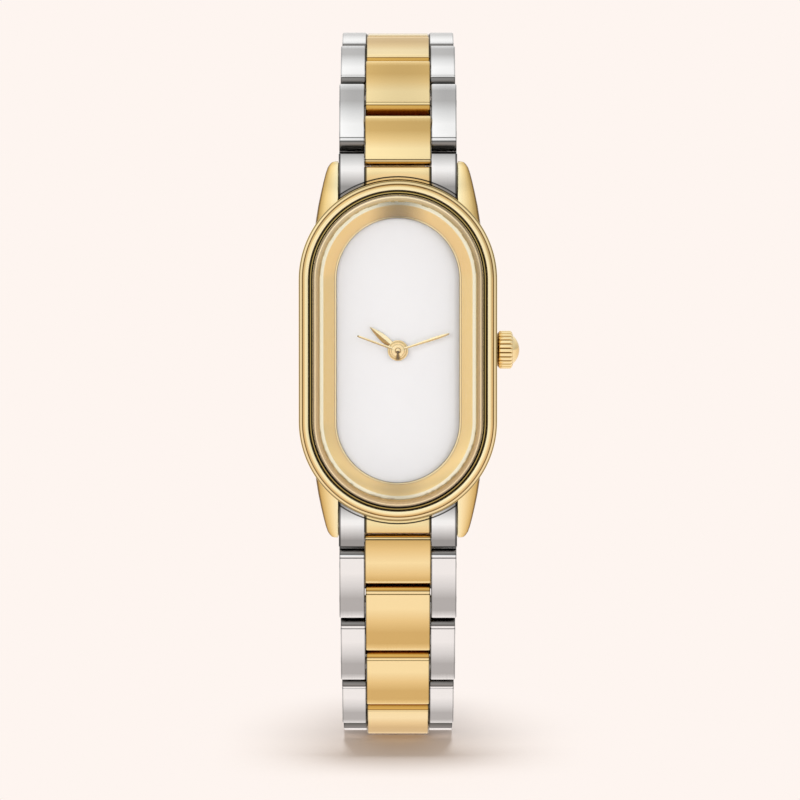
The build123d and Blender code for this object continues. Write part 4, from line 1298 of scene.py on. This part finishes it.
for name in ("clasp_inner_blade", "clasp_middle_blade", "clasp_cover"):
    eased(name, name, BLADE_EASE, blade_steel if "blade" in name else steel_satin)
eased("case_back", "watch_head", BACK_EASE, back_steel)

# %% [markdown]
# ## The stage
# The watch stands on a seamless warm white sweep. To look that even, plain paper would need
# so much light that its soft shadow would be lost. So the floor glows in its own colour for
# the camera and for all that metal mirrors, and only near the watch the camera sees lit
# paper, which takes the shadow. The paper is warm, to make up for the cool lamp above it.

# %% Floor
BACKDROP, PAPER = (0.991, 0.913, 0.871), (0.565, 0.442, 0.350)
SHADOW_REACH, SHADOW_MIDDLE, SHADOW_NARROWING, SHADOW_SHARE = 0.046, -0.018, 1.9, 0.97
FLOOR_HALF, FLOOR_GAP = 2.4, 0.00002


def floor_finish():
    """Paper that the camera and the metal see at its own colour, and that keeps the shadow."""
    finish = Finish("stage_paper", BACKDROP, 0.9)
    stops = [(0.3, dimmer(PAPER, 0.995)), (0.7, PAPER)]
    finish.set("Base Color", finish.ramp(finish.grain(0.4), stops))
    glow = finish.out("ShaderNodeEmission", {"Color": BACKDROP, "Strength": 1.0})
    values = {0: finish.place, 1: (SHADOW_NARROWING, 1, 1), 2: (0, -SHADOW_MIDDLE, 0)}
    shifted = finish.out("ShaderNodeVectorMath", values, operation="MULTIPLY_ADD")
    length = finish.add("ShaderNodeVectorMath", {0: shifted}, operation="LENGTH")
    away = Value(finish, length.outputs["Value"]) / SHADOW_REACH
    near = (1 - away * away).at_least_0()
    camera = Value(finish, finish.add("ShaderNodeLightPath").outputs["Is Camera Ray"])
    share = finish.seen() - camera * near * near * SHADOW_SHARE
    mixed = finish.out("ShaderNodeMixShader", {0: share, 1: finish.surface.outputs[0], 2: glow})
    finish.feed(finish.tree.nodes["Material Output"].inputs["Surface"], mixed)
    return finish.material


corners = [(-1, -1), (1, -1), (1, 1), (-1, 1)]
floor_mesh = bpy.data.meshes.new("stage_floor")
floor_mesh.from_pydata([(x * FLOOR_HALF, y * FLOOR_HALF, 0) for x, y in corners], [],
                       [(0, 1, 2, 3)])
floor_mesh.materials.append(floor_finish())
floor = bpy.data.objects.new("stage_floor", floor_mesh)
floor.location.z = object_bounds()[0][2] - FLOOR_GAP
bpy.context.scene.collection.objects.link(floor)
print("floor height:", round(floor.location.z / MM, 3), "mm")

# %% [markdown]
# ## The room
# Polished metal shows what stands round it. A real studio has pale walls with darker gaps, so
# the world is a pale room with bands of light and dark at different heights, which draw the
# grey and amber shades on the metal. Mirrors see it in full. As a fill light it is weaker, so
# that the lamps can still throw a shadow.

# %% World
SIDE_DROP, LEFT_LIFT, WORLD_FILL = 0.14, 0.15, 0.42
ROOM_LEVELS = [(0.0, 0.90), (0.12, 0.92), (0.32, 1.06), (0.55, 0.84), (0.80, 1.08), (0.9, 1.0),
               (1.0, 0.8)]


class Studio(Finish):
    """The room around the stage, drawn with the same nodes as a finish."""

    def __init__(self, name):
        world = bpy.data.worlds.new(name)
        world.use_nodes = True
        bpy.context.scene.world = world
        self.tree = world.node_tree
        self.surface = self.tree.nodes["Background"]
        self.place = self.add("ShaderNodeTexCoord").outputs["Generated"]


studio = Studio("studio")
across, _, up = studio.parts(studio.place)
sides = step_up(across.math("ABSOLUTE"), 0.62, 0.3)
light = 1 - sides * SIDE_DROP - across * LEFT_LIFT
stops = [(place, (level, level * 0.985, level * 0.965)) for place, level in ROOM_LEVELS]
studio.set("Color", studio.scaled(studio.ramp(up, stops), light))
studio.set("Strength", studio.seen() * (1 - WORLD_FILL) + WORLD_FILL)
print("levels of the room:", len(ROOM_LEVELS))

# %% [markdown]
# ## The lamps
# Two wide lamps stand in front at the sides, and a small cool one hangs above, which throws
# the soft shadow below the bracelet. Mirrors don't see them, because the photograph's metal
# shows even fields of light and no lamps.

# %% Lamps
TOP_LIGHT = (0.82, 1.03, 1.31)
watch_middle = Vector((0, -0.01, 0.036))


def soft_lamp(name, at, width, height, power, color=(1, 1, 1)):
    light = bpy.data.lights.new(name, "AREA")
    light.shape, light.size, light.size_y, light.energy = "RECTANGLE", width, height, power
    light.color = color
    lamp = bpy.data.objects.new(name, light)
    lamp.location = at
    lamp.rotation_euler = (watch_middle - Vector(at)).to_track_quat("-Z", "Y").to_euler()
    lamp.visible_glossy = False
    bpy.context.scene.collection.objects.link(lamp)
    print(name, power, "W")


soft_lamp("lamp_left", (-0.50, -0.50, 0.25), 0.3, 0.6, 2.15)
soft_lamp("lamp_right", (0.50, -0.45, 0.25), 0.3, 0.6, 1.5)
soft_lamp("lamp_top", (0, 0.05, 0.60), 0.18, 0.18, 5.3, TOP_LIGHT)

# %% [markdown]
# ## Camera
# The photograph looks slightly down on the watch, from far enough away to show almost no
# perspective. A camera without any perspective would be simpler, but the links that turn away
# would then look too wide. One pixel is a tenth of a millimetre at the case.

# %% Camera
DISTANCE, ELEVATION = 0.9, math.radians(5.8)
PIXEL, IMAGE_WIDTH, SENSOR = 0.0001015, 800, 36
aim = centre + Vector((0.00021, 0, -0.0051))
camera_data = bpy.data.cameras.new("camera")
camera_data.sensor_width = SENSOR
camera_data.lens = SENSOR * DISTANCE / (IMAGE_WIDTH * PIXEL)
camera_data.clip_start, camera_data.clip_end = 0.01, 20
camera = bpy.data.objects.new("camera", camera_data)
camera.location = aim + DISTANCE * Vector((0, -math.cos(ELEVATION), math.sin(ELEVATION)))
camera.rotation_euler = (math.pi / 2 - ELEVATION, 0, 0)
bpy.context.scene.collection.objects.link(camera)
bpy.context.scene.camera = camera
bpy.context.scene.view_settings.view_transform = "Standard"
print("camera:", [round(v, 4) for v in camera.location])

# %% [markdown]
# The dressed model has to keep to the CAD model's box.
